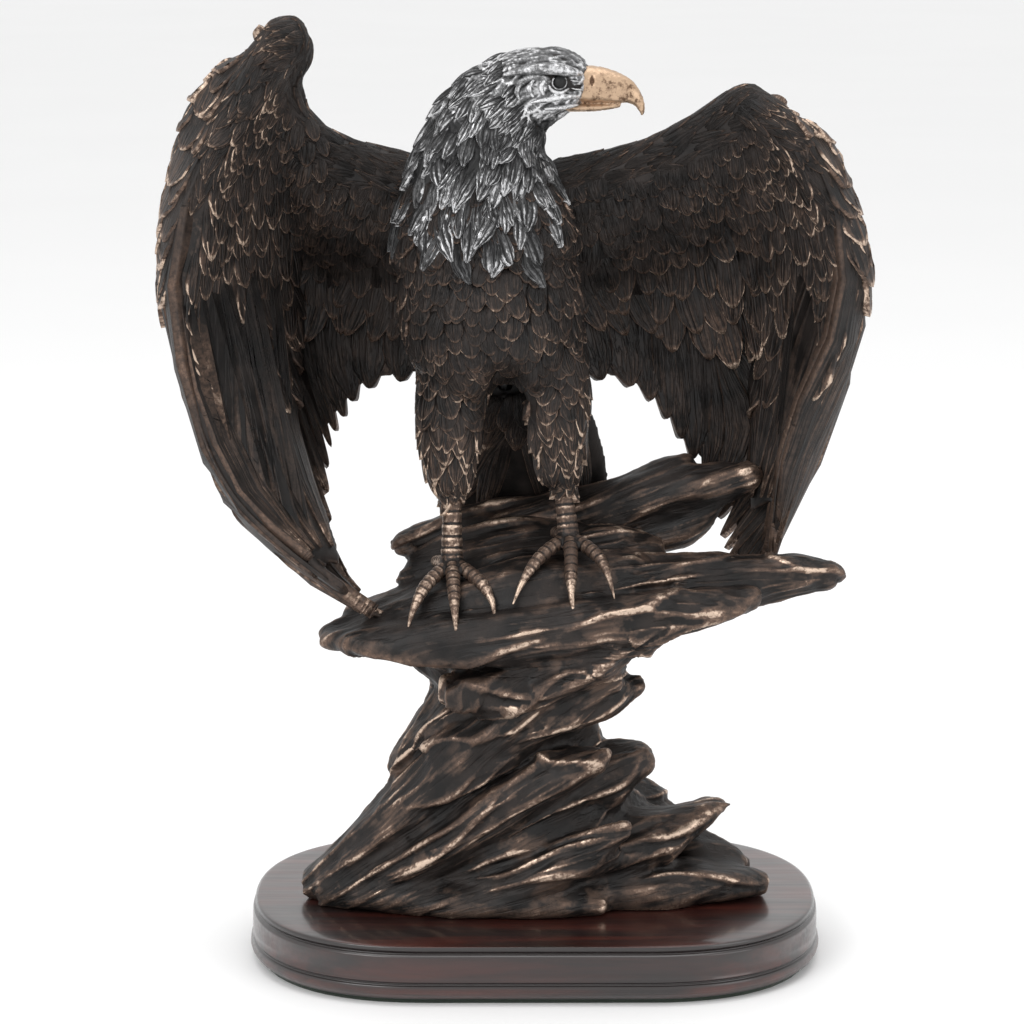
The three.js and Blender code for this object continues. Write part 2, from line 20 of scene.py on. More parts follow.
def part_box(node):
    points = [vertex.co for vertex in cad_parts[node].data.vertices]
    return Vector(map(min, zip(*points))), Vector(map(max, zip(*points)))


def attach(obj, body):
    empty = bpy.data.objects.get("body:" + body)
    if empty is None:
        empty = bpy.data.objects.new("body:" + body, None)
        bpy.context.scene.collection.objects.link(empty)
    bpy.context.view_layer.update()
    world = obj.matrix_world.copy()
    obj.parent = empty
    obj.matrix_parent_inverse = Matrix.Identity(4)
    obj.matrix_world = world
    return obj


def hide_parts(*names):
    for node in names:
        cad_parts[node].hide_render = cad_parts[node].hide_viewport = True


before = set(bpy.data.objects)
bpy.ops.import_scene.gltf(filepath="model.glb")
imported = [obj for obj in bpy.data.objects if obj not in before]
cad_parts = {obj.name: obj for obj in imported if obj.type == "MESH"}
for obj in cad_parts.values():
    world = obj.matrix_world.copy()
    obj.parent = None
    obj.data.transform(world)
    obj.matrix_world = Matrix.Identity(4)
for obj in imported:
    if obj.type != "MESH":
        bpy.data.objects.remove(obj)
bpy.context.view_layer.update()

bl_info = {
    "name": "Eagle Statuette",
    "version": (1, 0, 0),
    "blender": (4, 5, 0),
    "location": "View3D > Sidebar > Statuette",
    "description": "Plumage, driftwood, plinth and patina of a cast eagle statuette",
    "category": "Object",
}

MM = 0.001
BODY = "root"
SEED = 11


# ---------------------------------------------------------------------------------------------
# Sizes and colours that a user may change
# ---------------------------------------------------------------------------------------------


def length(name, description, default):
    return FloatProperty(name=name, description=description, default=default, unit="LENGTH", precision=5)


def colour(name, description, default):
    return FloatVectorProperty(
        name=name, description=description, default=default, subtype="COLOR", size=3, min=0, max=1
    )


def share(name, description, default):
    return FloatProperty(name=name, description=description, default=default, min=0, max=1, subtype="FACTOR")


class PlumageSizes(bpy.types.PropertyGroup):
    breast_width: length("Breast feather", "Width of a breast feather", 0.008)
    thigh_width: length("Thigh feather", "Width of a thigh feather", 0.0082)
    hackle_width: length("Hackle", "Width of a neck hackle at the shoulders", 0.0062)
    covert_width: length("Covert", "Width of the largest under-wing covert", 0.0098)
    marginal_width: length("Marginal covert", "Width of the scales on the wing's leading edge", 0.0165)
    skin_voxel: length("Skin voxel", "Cell size of the casting under the feathers", 0.0013)


class DriftwoodSizes(bpy.types.PropertyGroup):
    voxel: length("Voxel", "Cell size of the driftwood's skin", 0.00085)
    flute: share("Flute depth", "How deep the hollows between a limb's ridges are", 0.3)
    grain: length("Grain depth", "Depth of the incised grain", 0.00032)


class FinishColours(bpy.types.PropertyGroup):
    patina_dark: colour("Patina, recesses", "Dark patina in the recesses", (0.0055, 0.0045, 0.0042))
    patina_mid: colour("Patina", "Brown patina on open surfaces", (0.021, 0.016, 0.014))
    copper: colour("Rubbed copper", "Half-rubbed highlights", (0.15, 0.1, 0.076))
    gold: colour("Rubbed gold", "Fully rubbed highlights", (0.6, 0.46, 0.36))
    silver_dark: colour("Silver, recesses", "Black in the silver head's recesses", (0.0045, 0.0045, 0.005))
    silver: colour("Silver", "Rubbed silver of the head", (0.66, 0.66, 0.67))
    gilt: colour("Gilt", "Gilding of the beak", (0.5, 0.35, 0.235))
    # The dark stain colours the grain's dark streaks and pores, and also the painted shade on the plinth's
    # coves and groove.
    stain_dark_and_shade: colour("Stain, dark", "Near-black stain on the plinth's edges", (0.009, 0.0045, 0.0042))
    stain_red: colour("Stain, red", "Red-brown stain on the plinth's flats", (0.066, 0.015, 0.01))


class StagePlan(bpy.types.PropertyGroup):
    distance: length("Camera distance", "From the camera to the point that it looks at", 1.283)
    elevation: FloatProperty(
        name="Elevation", description="Camera's height angle", default=math.radians(12), subtype="ANGLE"
    )
    lens: FloatProperty(name="Lens", description="Focal length in millimetres", default=120, min=10)
    key: FloatProperty(name="Key light", description="Power of the key light in watts", default=11, min=0)


def sizes():
    return bpy.context.scene.statuette_plumage


def wood_sizes():
    return bpy.context.scene.statuette_driftwood


def colours():
    return bpy.context.scene.statuette_finish


# ---------------------------------------------------------------------------------------------
# Curves, sheets and meshes
# ---------------------------------------------------------------------------------------------


def spline(points, t):
    """Catmull-Rom curve through points at the places t. It runs on straight past either end."""
    points = np.asarray(points, float)
    padded = np.vstack([2 * points[0] - points[1], points, 2 * points[-1] - points[-2]])
    spans = len(points) - 1
    t = np.atleast_1d(np.asarray(t, float))
    place = np.clip(t, 0, 1) * spans
    first = np.minimum(place.astype(int), spans - 1)
    u = (place - first)[:, None]
    a, b, c, d = (padded[first + k] for k in range(4))
    inside = 0.5 * (
        2 * b + (c - a) * u + (2 * a - 5 * b + 4 * c - d) * u**2 + (3 * b - a - 3 * c + d) * u**3
    )
    past = (t * spans - place)[:, None]
    slope = np.where(past > 0, points[-1] - points[-2], points[1] - points[0])
    return inside + past * slope


def unit(v):
    return v / np.maximum(np.linalg.norm(v, axis=-1, keepdims=True), 1e-12)


def skinned(mesh, name, material, replaces=()):
    """Makes mesh a finished piece of the statuette."""
    mesh.name = name
    mesh.shade_smooth()
    mesh.materials.clear()
    mesh.materials.append(material)
    piece = bpy.data.objects.new(name, mesh)
    bpy.context.scene.collection.objects.link(piece)
    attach(piece, BODY)
    if replaces:
        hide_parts(*replaces)
    return piece


def to_mesh(bm, name="work"):
    mesh = bpy.data.meshes.new(name)
    bm.to_mesh(mesh)
    bm.free()
    return mesh


def points_of(mesh):
    co = np.empty(len(mesh.vertices) * 3, np.float32)
    mesh.vertices.foreach_get("co", co)
    return co.reshape(-1, 3).astype(float)


def normals_of(mesh):
    n = np.empty(len(mesh.vertices) * 3, np.float32)
    mesh.vertices.foreach_get("normal", n)
    return n.reshape(-1, 3).astype(float)


def set_points(mesh, co):
    mesh.vertices.foreach_set("co", np.ascontiguousarray(co, np.float32).ravel())
    mesh.update()


def set_attribute(mesh, name, values):
    layer = mesh.attributes.get(name) or mesh.attributes.new(name, "FLOAT", "POINT")
    layer.data.foreach_set("value", np.ascontiguousarray(values, np.float32))


def ring_of(bm, sides):
    """A one-face disc of that many sides, and its corners in order."""
    made = bmesh.ops.create_circle(bm, cap_ends=True, segments=sides, radius=1.0)
    face = made["verts"][0].link_faces[0]
    return face, list(face.verts)


def loft(bm, stations, rows, sides, section=None, reference=(0, 1, 0)):
    """Adds a capped tube along stations [x, y, z, half width, half depth] in millimetres.

    section(t, angles) scales the outline at t along the tube, so that it can be fluted.
    """
    stations = np.array(stations, float)
    t = np.linspace(0, 1, rows)
    path = spline(stations[:, :3], t) * MM
    radii = np.maximum(spline(stations[:, 3:5], t), 0.3) * MM
    along = unit(np.gradient(path, axis=0))
    across = unit(np.cross(np.array(reference, float), along))
    front = np.cross(along, across)
    angles = np.arange(sides) * 2 * math.pi / sides
    face, ring = ring_of(bm, sides)
    for row in range(rows):
        if row:
            grown = bmesh.ops.extrude_face_region(bm, geom=[face])["geom"]
            face = next(g for g in grown if isinstance(g, bmesh.types.BMFace))
            ring = list(face.verts)
        grow = section(t[row], angles) if section else np.ones(sides)
        for k, vert in enumerate(ring):
            offset = (
                across[row] * math.cos(angles[k]) * radii[row, 0]
                + front[row] * math.sin(angles[k]) * radii[row, 1]
            )
            vert.co = path[row] + offset * grow[k]


def remeshed(bm, voxel, smoothing=4, finer=0):
    """The closed outer skin of everything in bm, as one mesh of even quads."""
    bmesh.ops.recalc_face_normals(bm, faces=bm.faces[:])
    rough = bpy.data.objects.new("work", to_mesh(bm))
    bpy.context.scene.collection.objects.link(rough)
    skin = rough.modifiers.new("Skin", "REMESH")
    skin.mode = "VOXEL"
    skin.voxel_size = voxel
    if smoothing:
        soft = rough.modifiers.new("Soften", "SMOOTH")
        soft.factor = 0.5
        soft.iterations = smoothing
    if finer:
        split = rough.modifiers.new("Finer", "SUBSURF")
        split.levels = finer
        split.render_levels = finer
    bpy.context.view_layer.update()
    graph = bpy.context.evaluated_depsgraph_get()
    mesh = bpy.data.meshes.new_from_object(rough.evaluated_get(graph))
    bpy.data.objects.remove(rough)
    return mesh


def cad_copy(*nodes):
    """A mesh being built that holds merged copies of CAD nodes."""
    bm = bmesh.new()
    for node in nodes:
        bm.from_mesh(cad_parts[node].data)
    bmesh.ops.remove_doubles(bm, verts=bm.verts[:], dist=1e-6)
    return bm


def tree_of(mesh):
    bm = bmesh.new()
    bm.from_mesh(mesh)
    tree = BVHTree.FromBMesh(bm)
    bm.free()
    return tree


def neighbour_mean(mesh, values, rounds):
    """Values smoothed over the mesh's edges."""
    edges = np.empty(len(mesh.edges) * 2, np.int32)
    mesh.edges.foreach_get("vertices", edges)
    a, b = edges.reshape(-1, 2).T
    count = np.bincount(a, minlength=len(values)) + np.bincount(b, minlength=len(values))
    count = np.maximum(count, 1)
    smooth = values.astype(float)
    for _ in range(rounds):
        total = np.zeros_like(smooth)
        for k in range(smooth.shape[1]):
            total[:, k] = np.bincount(a, smooth[b, k], len(smooth))
            total[:, k] += np.bincount(b, smooth[a, k], len(smooth))
        smooth = 0.5 * smooth + 0.5 * total / count[:, None]
    return smooth


def crest(mesh, rounds):
    """How far each vertex stands proud of its surroundings, about -1 to 1."""
    co = points_of(mesh)
    proud = ((co - neighbour_mean(mesh, co, rounds)) * normals_of(mesh)).sum(1)
    return np.clip(proud / max(np.percentile(np.abs(proud), 97), 1e-9), -1, 1)


def rows_of_noise(places, scale, octaves=3):
    """Smooth noise about -1 to 1 at the places, given in metres, with features 1/scale long."""
    return np.array([noise.fractal(Vector(p), 1.0, 2.0, octaves) for p in places * scale])


# ---------------------------------------------------------------------------------------------
# Materials
# ---------------------------------------------------------------------------------------------


class Graph:
    """A short way to wire a material's nodes."""

    def __init__(self, name):
        self.material = bpy.data.materials.new(name)
        self.material.use_nodes = True
        self.tree = self.material.node_tree
        self.tree.nodes.clear()
        self.shader = self.node("ShaderNodeBsdfPrincipled")
        output = self.node("ShaderNodeOutputMaterial")
        self.tree.links.new(self.shader.outputs["BSDF"], output.inputs["Surface"])
        self.place = self.node("ShaderNodeTexCoord").outputs["Object"]

    def node(self, kind, **settings):
        made = self.tree.nodes.new(kind)
        for key, value in settings.items():
            setattr(made, key, value)
        return made

    def put(self, socket, value):
        if isinstance(value, bpy.types.NodeSocket):
            self.tree.links.new(value, socket)
        elif socket.type == "RGBA" and len(value) == 3:
            socket.default_value = (*value, 1)
        else:
            socket.default_value = value

    def shade(self, **values):
        for name, value in values.items():
            self.put(self.shader.inputs[name.replace("_", " ")], value)

    def math(self, operation, a, b=0.0, clamp=False):
        made = self.node("ShaderNodeMath", operation=operation, use_clamp=clamp)
        self.put(made.inputs[0], a)
        self.put(made.inputs[1], b)
        return made.outputs[0]

    def ramp(self, value, low, high, to_low=0.0, to_high=1.0, smooth=True):
        made = self.node("ShaderNodeMapRange", interpolation_type="SMOOTHSTEP" if smooth else "LINEAR")
        for socket, number in zip(made.inputs[:5], (value, low, high, to_low, to_high)):
            self.put(socket, number)
        return made.outputs[0]

    def mix(self, factor, a, b):
        made = self.node("ShaderNodeMix", data_type="RGBA")
        self.put(made.inputs[0], factor)
        self.put(made.inputs[6], a)
        self.put(made.inputs[7], b)
        return made.outputs[2]

    def noise(self, scale, detail=3.0, roughness=0.55, stretch=None, distortion=0.0):
        made = self.node("ShaderNodeTexNoise")
        place = self.place
        if stretch:
            turned = self.node("ShaderNodeMapping")
            self.put(turned.inputs["Vector"], place)
            turned.inputs["Rotation"].default_value = stretch[0]
            turned.inputs["Scale"].default_value = stretch[1]
            place = turned.outputs[0]
        self.put(made.inputs["Vector"], place)
        for name, value in (
            ("Scale", scale),
            ("Detail", detail),
            ("Roughness", roughness),
            ("Distortion", distortion),
        ):
            made.inputs[name].default_value = value
        return made.outputs["Fac"]

    def attribute(self, name):
        return self.node("ShaderNodeAttribute", attribute_name=name).outputs["Fac"]

    def uv(self):
        split = self.node("ShaderNodeSeparateXYZ")
        self.put(split.inputs[0], self.node("ShaderNodeUVMap", uv_map="UVMap").outputs[0])
        return split.outputs[0], split.outputs[1]

    def bump(self, height, distance, strength=1.0, after=None):
        made = self.node("ShaderNodeBump")
        made.inputs["Strength"].default_value = strength
        made.inputs["Distance"].default_value = distance
        self.put(made.inputs["Height"], height)
        if after:
            self.put(made.inputs["Normal"], after)
        return made.outputs[0]


def rubbed(graph, worn, dark, mid, half, full):
    """Colour, metal and gloss of a dark patina that is rubbed through where worn nears 1."""
    cloudy = graph.noise(95, 4)
    sandy = graph.noise(1700, 3, 0.6)
    base = graph.mix(graph.ramp(cloudy, 0.35, 0.68), dark, mid)
    copper = graph.mix(graph.ramp(worn, 0.03, 0.5, smooth=False), base, half)
    tint = graph.mix(graph.ramp(worn, 0.42, 1.0), copper, full)
    grime = graph.mix(graph.ramp(sandy, 0.56, 0.72, 0.0, 0.55), tint, dark)
    graph.shade(
        Base_Color=grime,
        Metallic=graph.ramp(worn, 0.05, 0.6, 0.1, 0.85),
        Specular_IOR_Level=0.3,
        Roughness=graph.math(
            "ADD", graph.ramp(worn, 0.2, 0.9, 0.5, 0.4), graph.ramp(cloudy, 0.3, 0.7, -0.06, 0.06)
        ),
    )


def feather_detail(graph, across, along, cuts):
    """From the piece's UV map: how near the rim, the height of the streaks that run to the tip, how
    near the shaft, and how deep in one of the diagonal cuts."""
    u, v = graph.uv()
    side = graph.math("ABSOLUTE", graph.math("SUBTRACT", graph.math("MULTIPLY", u, 2.0), 1.0))
    to_side = graph.ramp(side, 0.9 if cuts else 0.8, 0.99)
    to_tip = graph.ramp(v, 0.88, 0.99)
    open_part = graph.ramp(v, 0.1, 0.35) if cuts else graph.ramp(v, 0.45, 0.85)
    rim = graph.math("MAXIMUM", graph.math("MULTIPLY", to_side, open_part), to_tip)
    spot = graph.node("ShaderNodeCombineXYZ")
    graph.put(spot.inputs[0], graph.math("MULTIPLY", u, across))
    graph.put(spot.inputs[1], graph.math("MULTIPLY", v, along))
    graph.put(spot.inputs[2], graph.math("MULTIPLY", graph.attribute("rub"), 61.0))
    streaky = graph.node("ShaderNodeTexNoise")
    graph.put(streaky.inputs["Vector"], spot.outputs[0])
    streaky.inputs["Scale"].default_value = 1.0
    streaky.inputs["Detail"].default_value = 2.5
    streaky.inputs["Distortion"].default_value = 0.3
    streaks = graph.ramp(streaky.outputs["Fac"], 0.4, 0.62)
    shaft = graph.ramp(side, 0.0, 0.12, 1.0, 0.0)
    slant = graph.math("SUBTRACT", graph.math("MULTIPLY", v, cuts), graph.math("MULTIPLY", side, cuts * 0.1))
    jagged = graph.math("ADD", slant, graph.math("MULTIPLY", graph.noise(90, 1), 0.9))
    cut = graph.ramp(graph.math("PINGPONG", jagged, 0.5), 0.0, 0.035, 1.0, 0.0)
    sparse = graph.math("MULTIPLY", graph.ramp(side, 0.25, 0.5), graph.ramp(graph.noise(70, 2), 0.54, 0.64))
    return rim, streaks, shaft, graph.math("MULTIPLY", cut, sparse)


def feather_material(name, tones, rim_gain, depth, streak_gain, across=11.0, along=1.6, cuts=0.0, ridge=0.0):
    """Bronze or silver feathers, rubbed on their rims, streaks and shafts as far as each is rubbed."""
    graph = Graph(name)
    rim, streaks, shaft, cut = feather_detail(graph, across, along, cuts)
    u, v = graph.uv()
    rub = graph.attribute("rub")
    speckle = graph.noise(560, 4, 0.65)
    patches = graph.noise(60, 3)
    if ridge:
        wander = graph.ramp(graph.noise(260, 2), 0.3, 0.7, -1.2, 1.2, smooth=False)
        phase = graph.math("ADD", graph.math("MULTIPLY", u, 6 * math.pi), wander)
        wave = graph.ramp(graph.math("COSINE", phase), -0.15, 0.95, 1.0, 0.0)
        lit = graph.math("MULTIPLY", graph.math("SUBTRACT", 1.0, wave), ridge)
        streaks = graph.math("ADD", graph.math("MULTIPLY", streaks, 0.45), lit)
    to_tip = graph.ramp(v, 0.2, 0.9, 0.14, 1.0)
    dusted = graph.math("MULTIPLY", graph.math("MULTIPLY", streaks, streak_gain), to_tip)
    proud = graph.math("ADD", graph.math("MULTIPLY", rim, rim_gain), dusted)
    proud = graph.math("ADD", proud, graph.math("MULTIPLY", shaft, 0.06))
    broken = graph.math("MULTIPLY", proud, graph.ramp(speckle, 0.34, 0.62, 0.45, 1.15))
    uneven = graph.math("MULTIPLY", broken, graph.ramp(patches, 0.36, 0.62, 0.5, 1.25))
    if cuts:
        uneven = graph.math("MULTIPLY", uneven, graph.ramp(cut, 0.0, 1.0, 1.0, 0.4))
    worn = graph.math("MULTIPLY", uneven, rub, clamp=True)
    rubbed(graph, worn, *tones)
    fine = graph.bump(graph.noise(1500, 3), 0.00012, 0.6)
    relief = graph.math("ADD", streaks, graph.math("MULTIPLY", shaft, 0.8))
    if cuts:
        relief = graph.math("SUBTRACT", relief, graph.math("MULTIPLY", cut, 0.9))
    graph.shade(Normal=graph.bump(relief, depth, 0.9, fine))
    return graph.material


def casting_material(name, slot_colours, gain=1.0, threshold=0.05):
    """A smooth or carved casting, rubbed where its crest attribute is high."""
    graph = Graph(name)
    proud = graph.ramp(graph.attribute("crest"), threshold, 0.95, smooth=False)
    speckle = graph.noise(520, 5, 0.7)
    patches = graph.noise(38, 3)
    broken = graph.math("MULTIPLY", proud, graph.ramp(speckle, 0.3, 0.66, 0.35, 1.15))
    uneven = graph.math("MULTIPLY", broken, graph.ramp(patches, 0.35, 0.62, 0.55, 1.2))
    film = graph.math("MULTIPLY", graph.ramp(patches, 0.5, 0.7, 0.0, 0.22), graph.ramp(speckle, 0.4, 0.7))
    worn = graph.math("ADD", graph.math("MULTIPLY", uneven, gain), film, clamp=True)
    rubbed(graph, worn, *slot_colours)
    graph.shade(Normal=graph.bump(graph.noise(1300, 4, 0.65), 0.00018, 0.7))
    return graph.material


_materials = {}


def bronze_colours():
    c = colours()
    return c.patina_dark, c.patina_mid, c.copper, c.gold


def silver_colours():
    c = colours()
    grey = tuple(0.27 * v for v in c.silver)
    return c.silver_dark, tuple(0.024 * v for v in c.silver), grey, c.silver


def material(name):
    """The finishes, each made once."""
    if name in _materials:
        return _materials[name]
    makers = {
        "bronze feathers": lambda: feather_material("bronze_feathers", bronze_colours(), 0.75, 0.0004, 0.24),
        "bronze quills": lambda: feather_material(
            "bronze_quills", bronze_colours(), 0.42, 0.0004, 0.26, 14.0, 4.0, 13.0
        ),
        "silver feathers": lambda: feather_material(
            "silver_feathers", silver_colours(), 0.4, 0.0007, 1.15, 9.0, 1.2, 0.0, 0.75
        ),
        "bronze casting": lambda: casting_material("bronze_casting", bronze_colours()),
        "driftwood bronze": driftwood_material,
        "silver casting": lambda: casting_material("silver_casting", silver_colours(), 1.25, -0.1),
        "gilt": gilt_material,
        "stained wood": stained_wood,
        "felt": felt_material,
        "steel": steel_material,
    }
    _materials[name] = makers[name]()
    return _materials[name]


def driftwood_material():
    """Carved wood in bronze: rubbed on its lips, with incised lines that follow its course."""
    graph = Graph("driftwood_bronze")
    course = graph.node("ShaderNodeAttribute", attribute_name="course").outputs["Vector"]
    scaled = graph.node("ShaderNodeMapping")
    graph.put(scaled.inputs["Vector"], course)
    scaled.inputs["Scale"].default_value = (45.0, 620.0, 420.0)
    lines = graph.node("ShaderNodeTexNoise")
    graph.put(lines.inputs["Vector"], scaled.outputs[0])
    lines.inputs["Scale"].default_value = 1.0
    lines.inputs["Detail"].default_value = 3.0
    streaks = lines.outputs["Fac"]
    patches = graph.noise(34, 3)
    speckle = graph.noise(620, 4, 0.7)
    proud = graph.ramp(graph.attribute("crest"), 0.18, 1.25, smooth=False)
    broken = graph.math("MULTIPLY", proud, graph.ramp(speckle, 0.3, 0.62, 0.45, 1.15))
    streaked = graph.math("MULTIPLY", broken, graph.ramp(streaks, 0.38, 0.6, 0.65, 1.2))
    uneven = graph.math("MULTIPLY", streaked, graph.ramp(patches, 0.38, 0.62, 0.5, 1.25))
    clouds = graph.ramp(graph.noise(85, 4, 0.6), 0.46, 0.64, 0.0, 0.3)
    broad = graph.math("MULTIPLY", clouds, graph.ramp(patches, 0.4, 0.6))
    film = graph.math("MULTIPLY", broad, graph.ramp(streaks, 0.36, 0.62, 0.45, 1.15))
    worn = graph.math("ADD", uneven, film, clamp=True)
    rubbed(graph, worn, *bronze_colours())
    fine = graph.bump(graph.noise(1300, 4, 0.65), 0.00015, 0.6)
    graph.shade(Normal=graph.bump(graph.ramp(streaks, 0.36, 0.5), 0.00022, 0.7, fine))
    return graph.material


def gilt_material():
    """Gilt that is pitted and stained in its hollows."""
    graph = Graph("gilt_beak")
    pits = graph.noise(380, 5, 0.7)
    patch = graph.noise(120, 3)
    stain = graph.math("MULTIPLY", graph.ramp(pits, 0.47, 0.64), graph.ramp(patch, 0.4, 0.57))
    stain = graph.math("MAXIMUM", stain, graph.ramp(graph.attribute("crest"), -0.15, -0.75))
    gilt = colours().gilt
    tint = graph.mix(stain, gilt, tuple(v * k for v, k in zip(gilt, (0.24, 0.2, 0.18))))
    graph.shade(Base_Color=tint, Metallic=0.7, Roughness=graph.ramp(pits, 0.3, 0.7, 0.32, 0.46))
    graph.shade(Normal=graph.bump(pits, 0.0003, 0.7))
    return graph.material


def stained_wood():
    """Red-brown stained wood under a clear coat, near black on the mouldings."""
    graph = Graph("stained_wood")
    grain = graph.noise(26, 5, 0.6, stretch=((0, 0, 0), (0.35, 4.0, 4.0)), distortion=0.4)
    pores = graph.noise(240, 3, 0.6, stretch=((0, 0, 0), (0.12, 2.0, 2.0)))
    c = colours()
    body = graph.mix(graph.ramp(grain, 0.32, 0.7), c.stain_dark_and_shade, c.stain_red)
    # Painted shade: the mouldings darken by how deep each row is set in. They are near black in the coves and
    # groove and light on the bead, a painted highlight.
    mouldings_with_painted_shade = graph.mix(graph.ramp(graph.attribute("edge"), 0.1, 0.8), body, c.stain_dark_and_shade)
    deep = graph.mix(graph.ramp(pores, 0.6, 0.78, 0.0, 0.6), mouldings_with_painted_shade, c.stain_dark_and_shade)
    graph.shade(Base_Color=deep, Roughness=graph.ramp(pores, 0.3, 0.7, 0.3, 0.4))
    graph.shade(Coat_Weight=0.66, Coat_Roughness=0.12)
    graph.shade(Normal=graph.bump(graph.noise(14, 3), 0.0006, 0.25))
    return graph.material


def felt_material():
    """Dark green felt."""
    graph = Graph("felt")
    fibre = graph.noise(1600, 4, 0.7)
    graph.shade(
        Base_Color=graph.mix(fibre, (0.008, 0.014, 0.009), (0.03, 0.045, 0.032)), Roughness=0.95
    )
    graph.shade(Sheen_Weight=0.4)
    graph.shade(Normal=graph.bump(fibre, 0.0003, 0.8))
    return graph.material


def steel_material():
    """Brushed plain steel."""
    graph = Graph("plain_steel")
    brushed = graph.noise(300, 4, 0.6, stretch=((0, 0, 0), (1.0, 1.0, 0.08)))
    graph.shade(
        Base_Color=graph.mix(brushed, (0.32, 0.32, 0.33), (0.5, 0.5, 0.52)),
        Metallic=1.0,
        Roughness=graph.ramp(brushed, 0.3, 0.7, 0.28, 0.42),
    )
    return graph.material


# ---------------------------------------------------------------------------------------------
# Feathers
# ---------------------------------------------------------------------------------------------

Feather = namedtuple("Feather", "spine widths lift thick tilt rub")
Feather.__doc__ = """One feather to lay: its spine (points, normals, headings), the half width at
each step of the spine, the tip's lift, the height over the skin, the tilt and the rubbing."""

FEATHER_SHAPES = {
    "scale": {"widths": (0.7, 0.92, 1.0, 0.96, 0.6), "tip": 0.16, "crown": 0.17, "keel": 0.0},
    "shield": {"widths": (0.75, 0.92, 1.0, 1.0, 0.7), "tip": 0.2, "crown": 0.06, "keel": 0.0, "rim": 0.5},
    "lance": {"widths": (0.55, 0.95, 1.0, 0.76, 0.22), "tip": 0.06, "crown": 0.2, "keel": 0.1},
    "hackle": {
        "widths": (0.5, 0.8, 1.0, 0.95, 0.4),
        "tip": 0.1,
        "crown": 0.24,
        "keel": 0.0,
        "ridge": 0.17,
        "cells": (12, 7),
    },
    "quill": {"widths": (0.6, 0.9, 1.0, 0.9, 0.3), "tip": 0.05, "crown": 0.13, "keel": 0.05},
}
SPINE_STEPS = 8
TEMPLATE_CELLS = (6, 6)
UNDERSIDE_DEPTH = 0.0006


def feather_template(cells):
    """A closed feather in its own units: x from -1 to 1 across, y from 0 at the root to 1 at the
    tip, z 0 on top and -1 underneath. Its cells crowd towards the rim."""
    bm = bmesh.new()
    bmesh.ops.create_grid(bm, x_segments=cells[0], y_segments=cells[1], size=1.0)
    for vert in bm.verts:
        x, y = vert.co.x, (vert.co.y + 1) / 2
        vert.co = (math.copysign(abs(x) ** 0.62, x), 1 - (1 - y) ** 1.4, 0)
    rim = [edge for edge in bm.edges if edge.is_boundary]
    grown = bmesh.ops.extrude_edge_only(bm, edges=rim)["geom"]
    under = [g for g in grown if isinstance(g, bmesh.types.BMVert)]
    for vert in under:
        vert.co.z = -1
    loop = [edge for edge in bm.edges if edge.is_boundary]
    bmesh.ops.edgeloop_fill(bm, edges=loop)
    bmesh.ops.recalc_face_normals(bm, faces=bm.faces[:])
    layer = bm.loops.layers.uv.new("UVMap")
    for face in bm.faces:
        for corner in face.loops:
            corner[layer].uv = ((corner.vert.co.x + 1) / 2, corner.vert.co.y)
    return to_mesh(bm, "feather_template")


def spine_along(tree, root, heading, size, bend=0.0):
    """A spine that starts at root and keeps to the skin, turning by bend radians on its way."""
    points, normals, headings = [], [], []
    point, heading = Vector(root), Vector(heading)
    for _ in range(SPINE_STEPS + 1):
        point, normal, _, _ = tree.find_nearest(point)
        heading = (heading - normal * heading.dot(normal)).normalized()
        points.append(point.copy())
        normals.append(normal.copy())
        headings.append(heading.copy())
        heading.rotate(Matrix.Rotation(bend / SPINE_STEPS, 3, normal))
        point = point + heading * (size / SPINE_STEPS)
    return np.array(points), np.array(normals), np.array(headings)


def smooth_along(values, rounds=2):
    """Evens out the steps between the skin's facets along a spine."""
    for _ in range(rounds):
        inner = (values[:-2] + 2 * values[1:-1] + values[2:]) / 4
        values = np.vstack([values[:1], inner, values[-1:]])
    return values


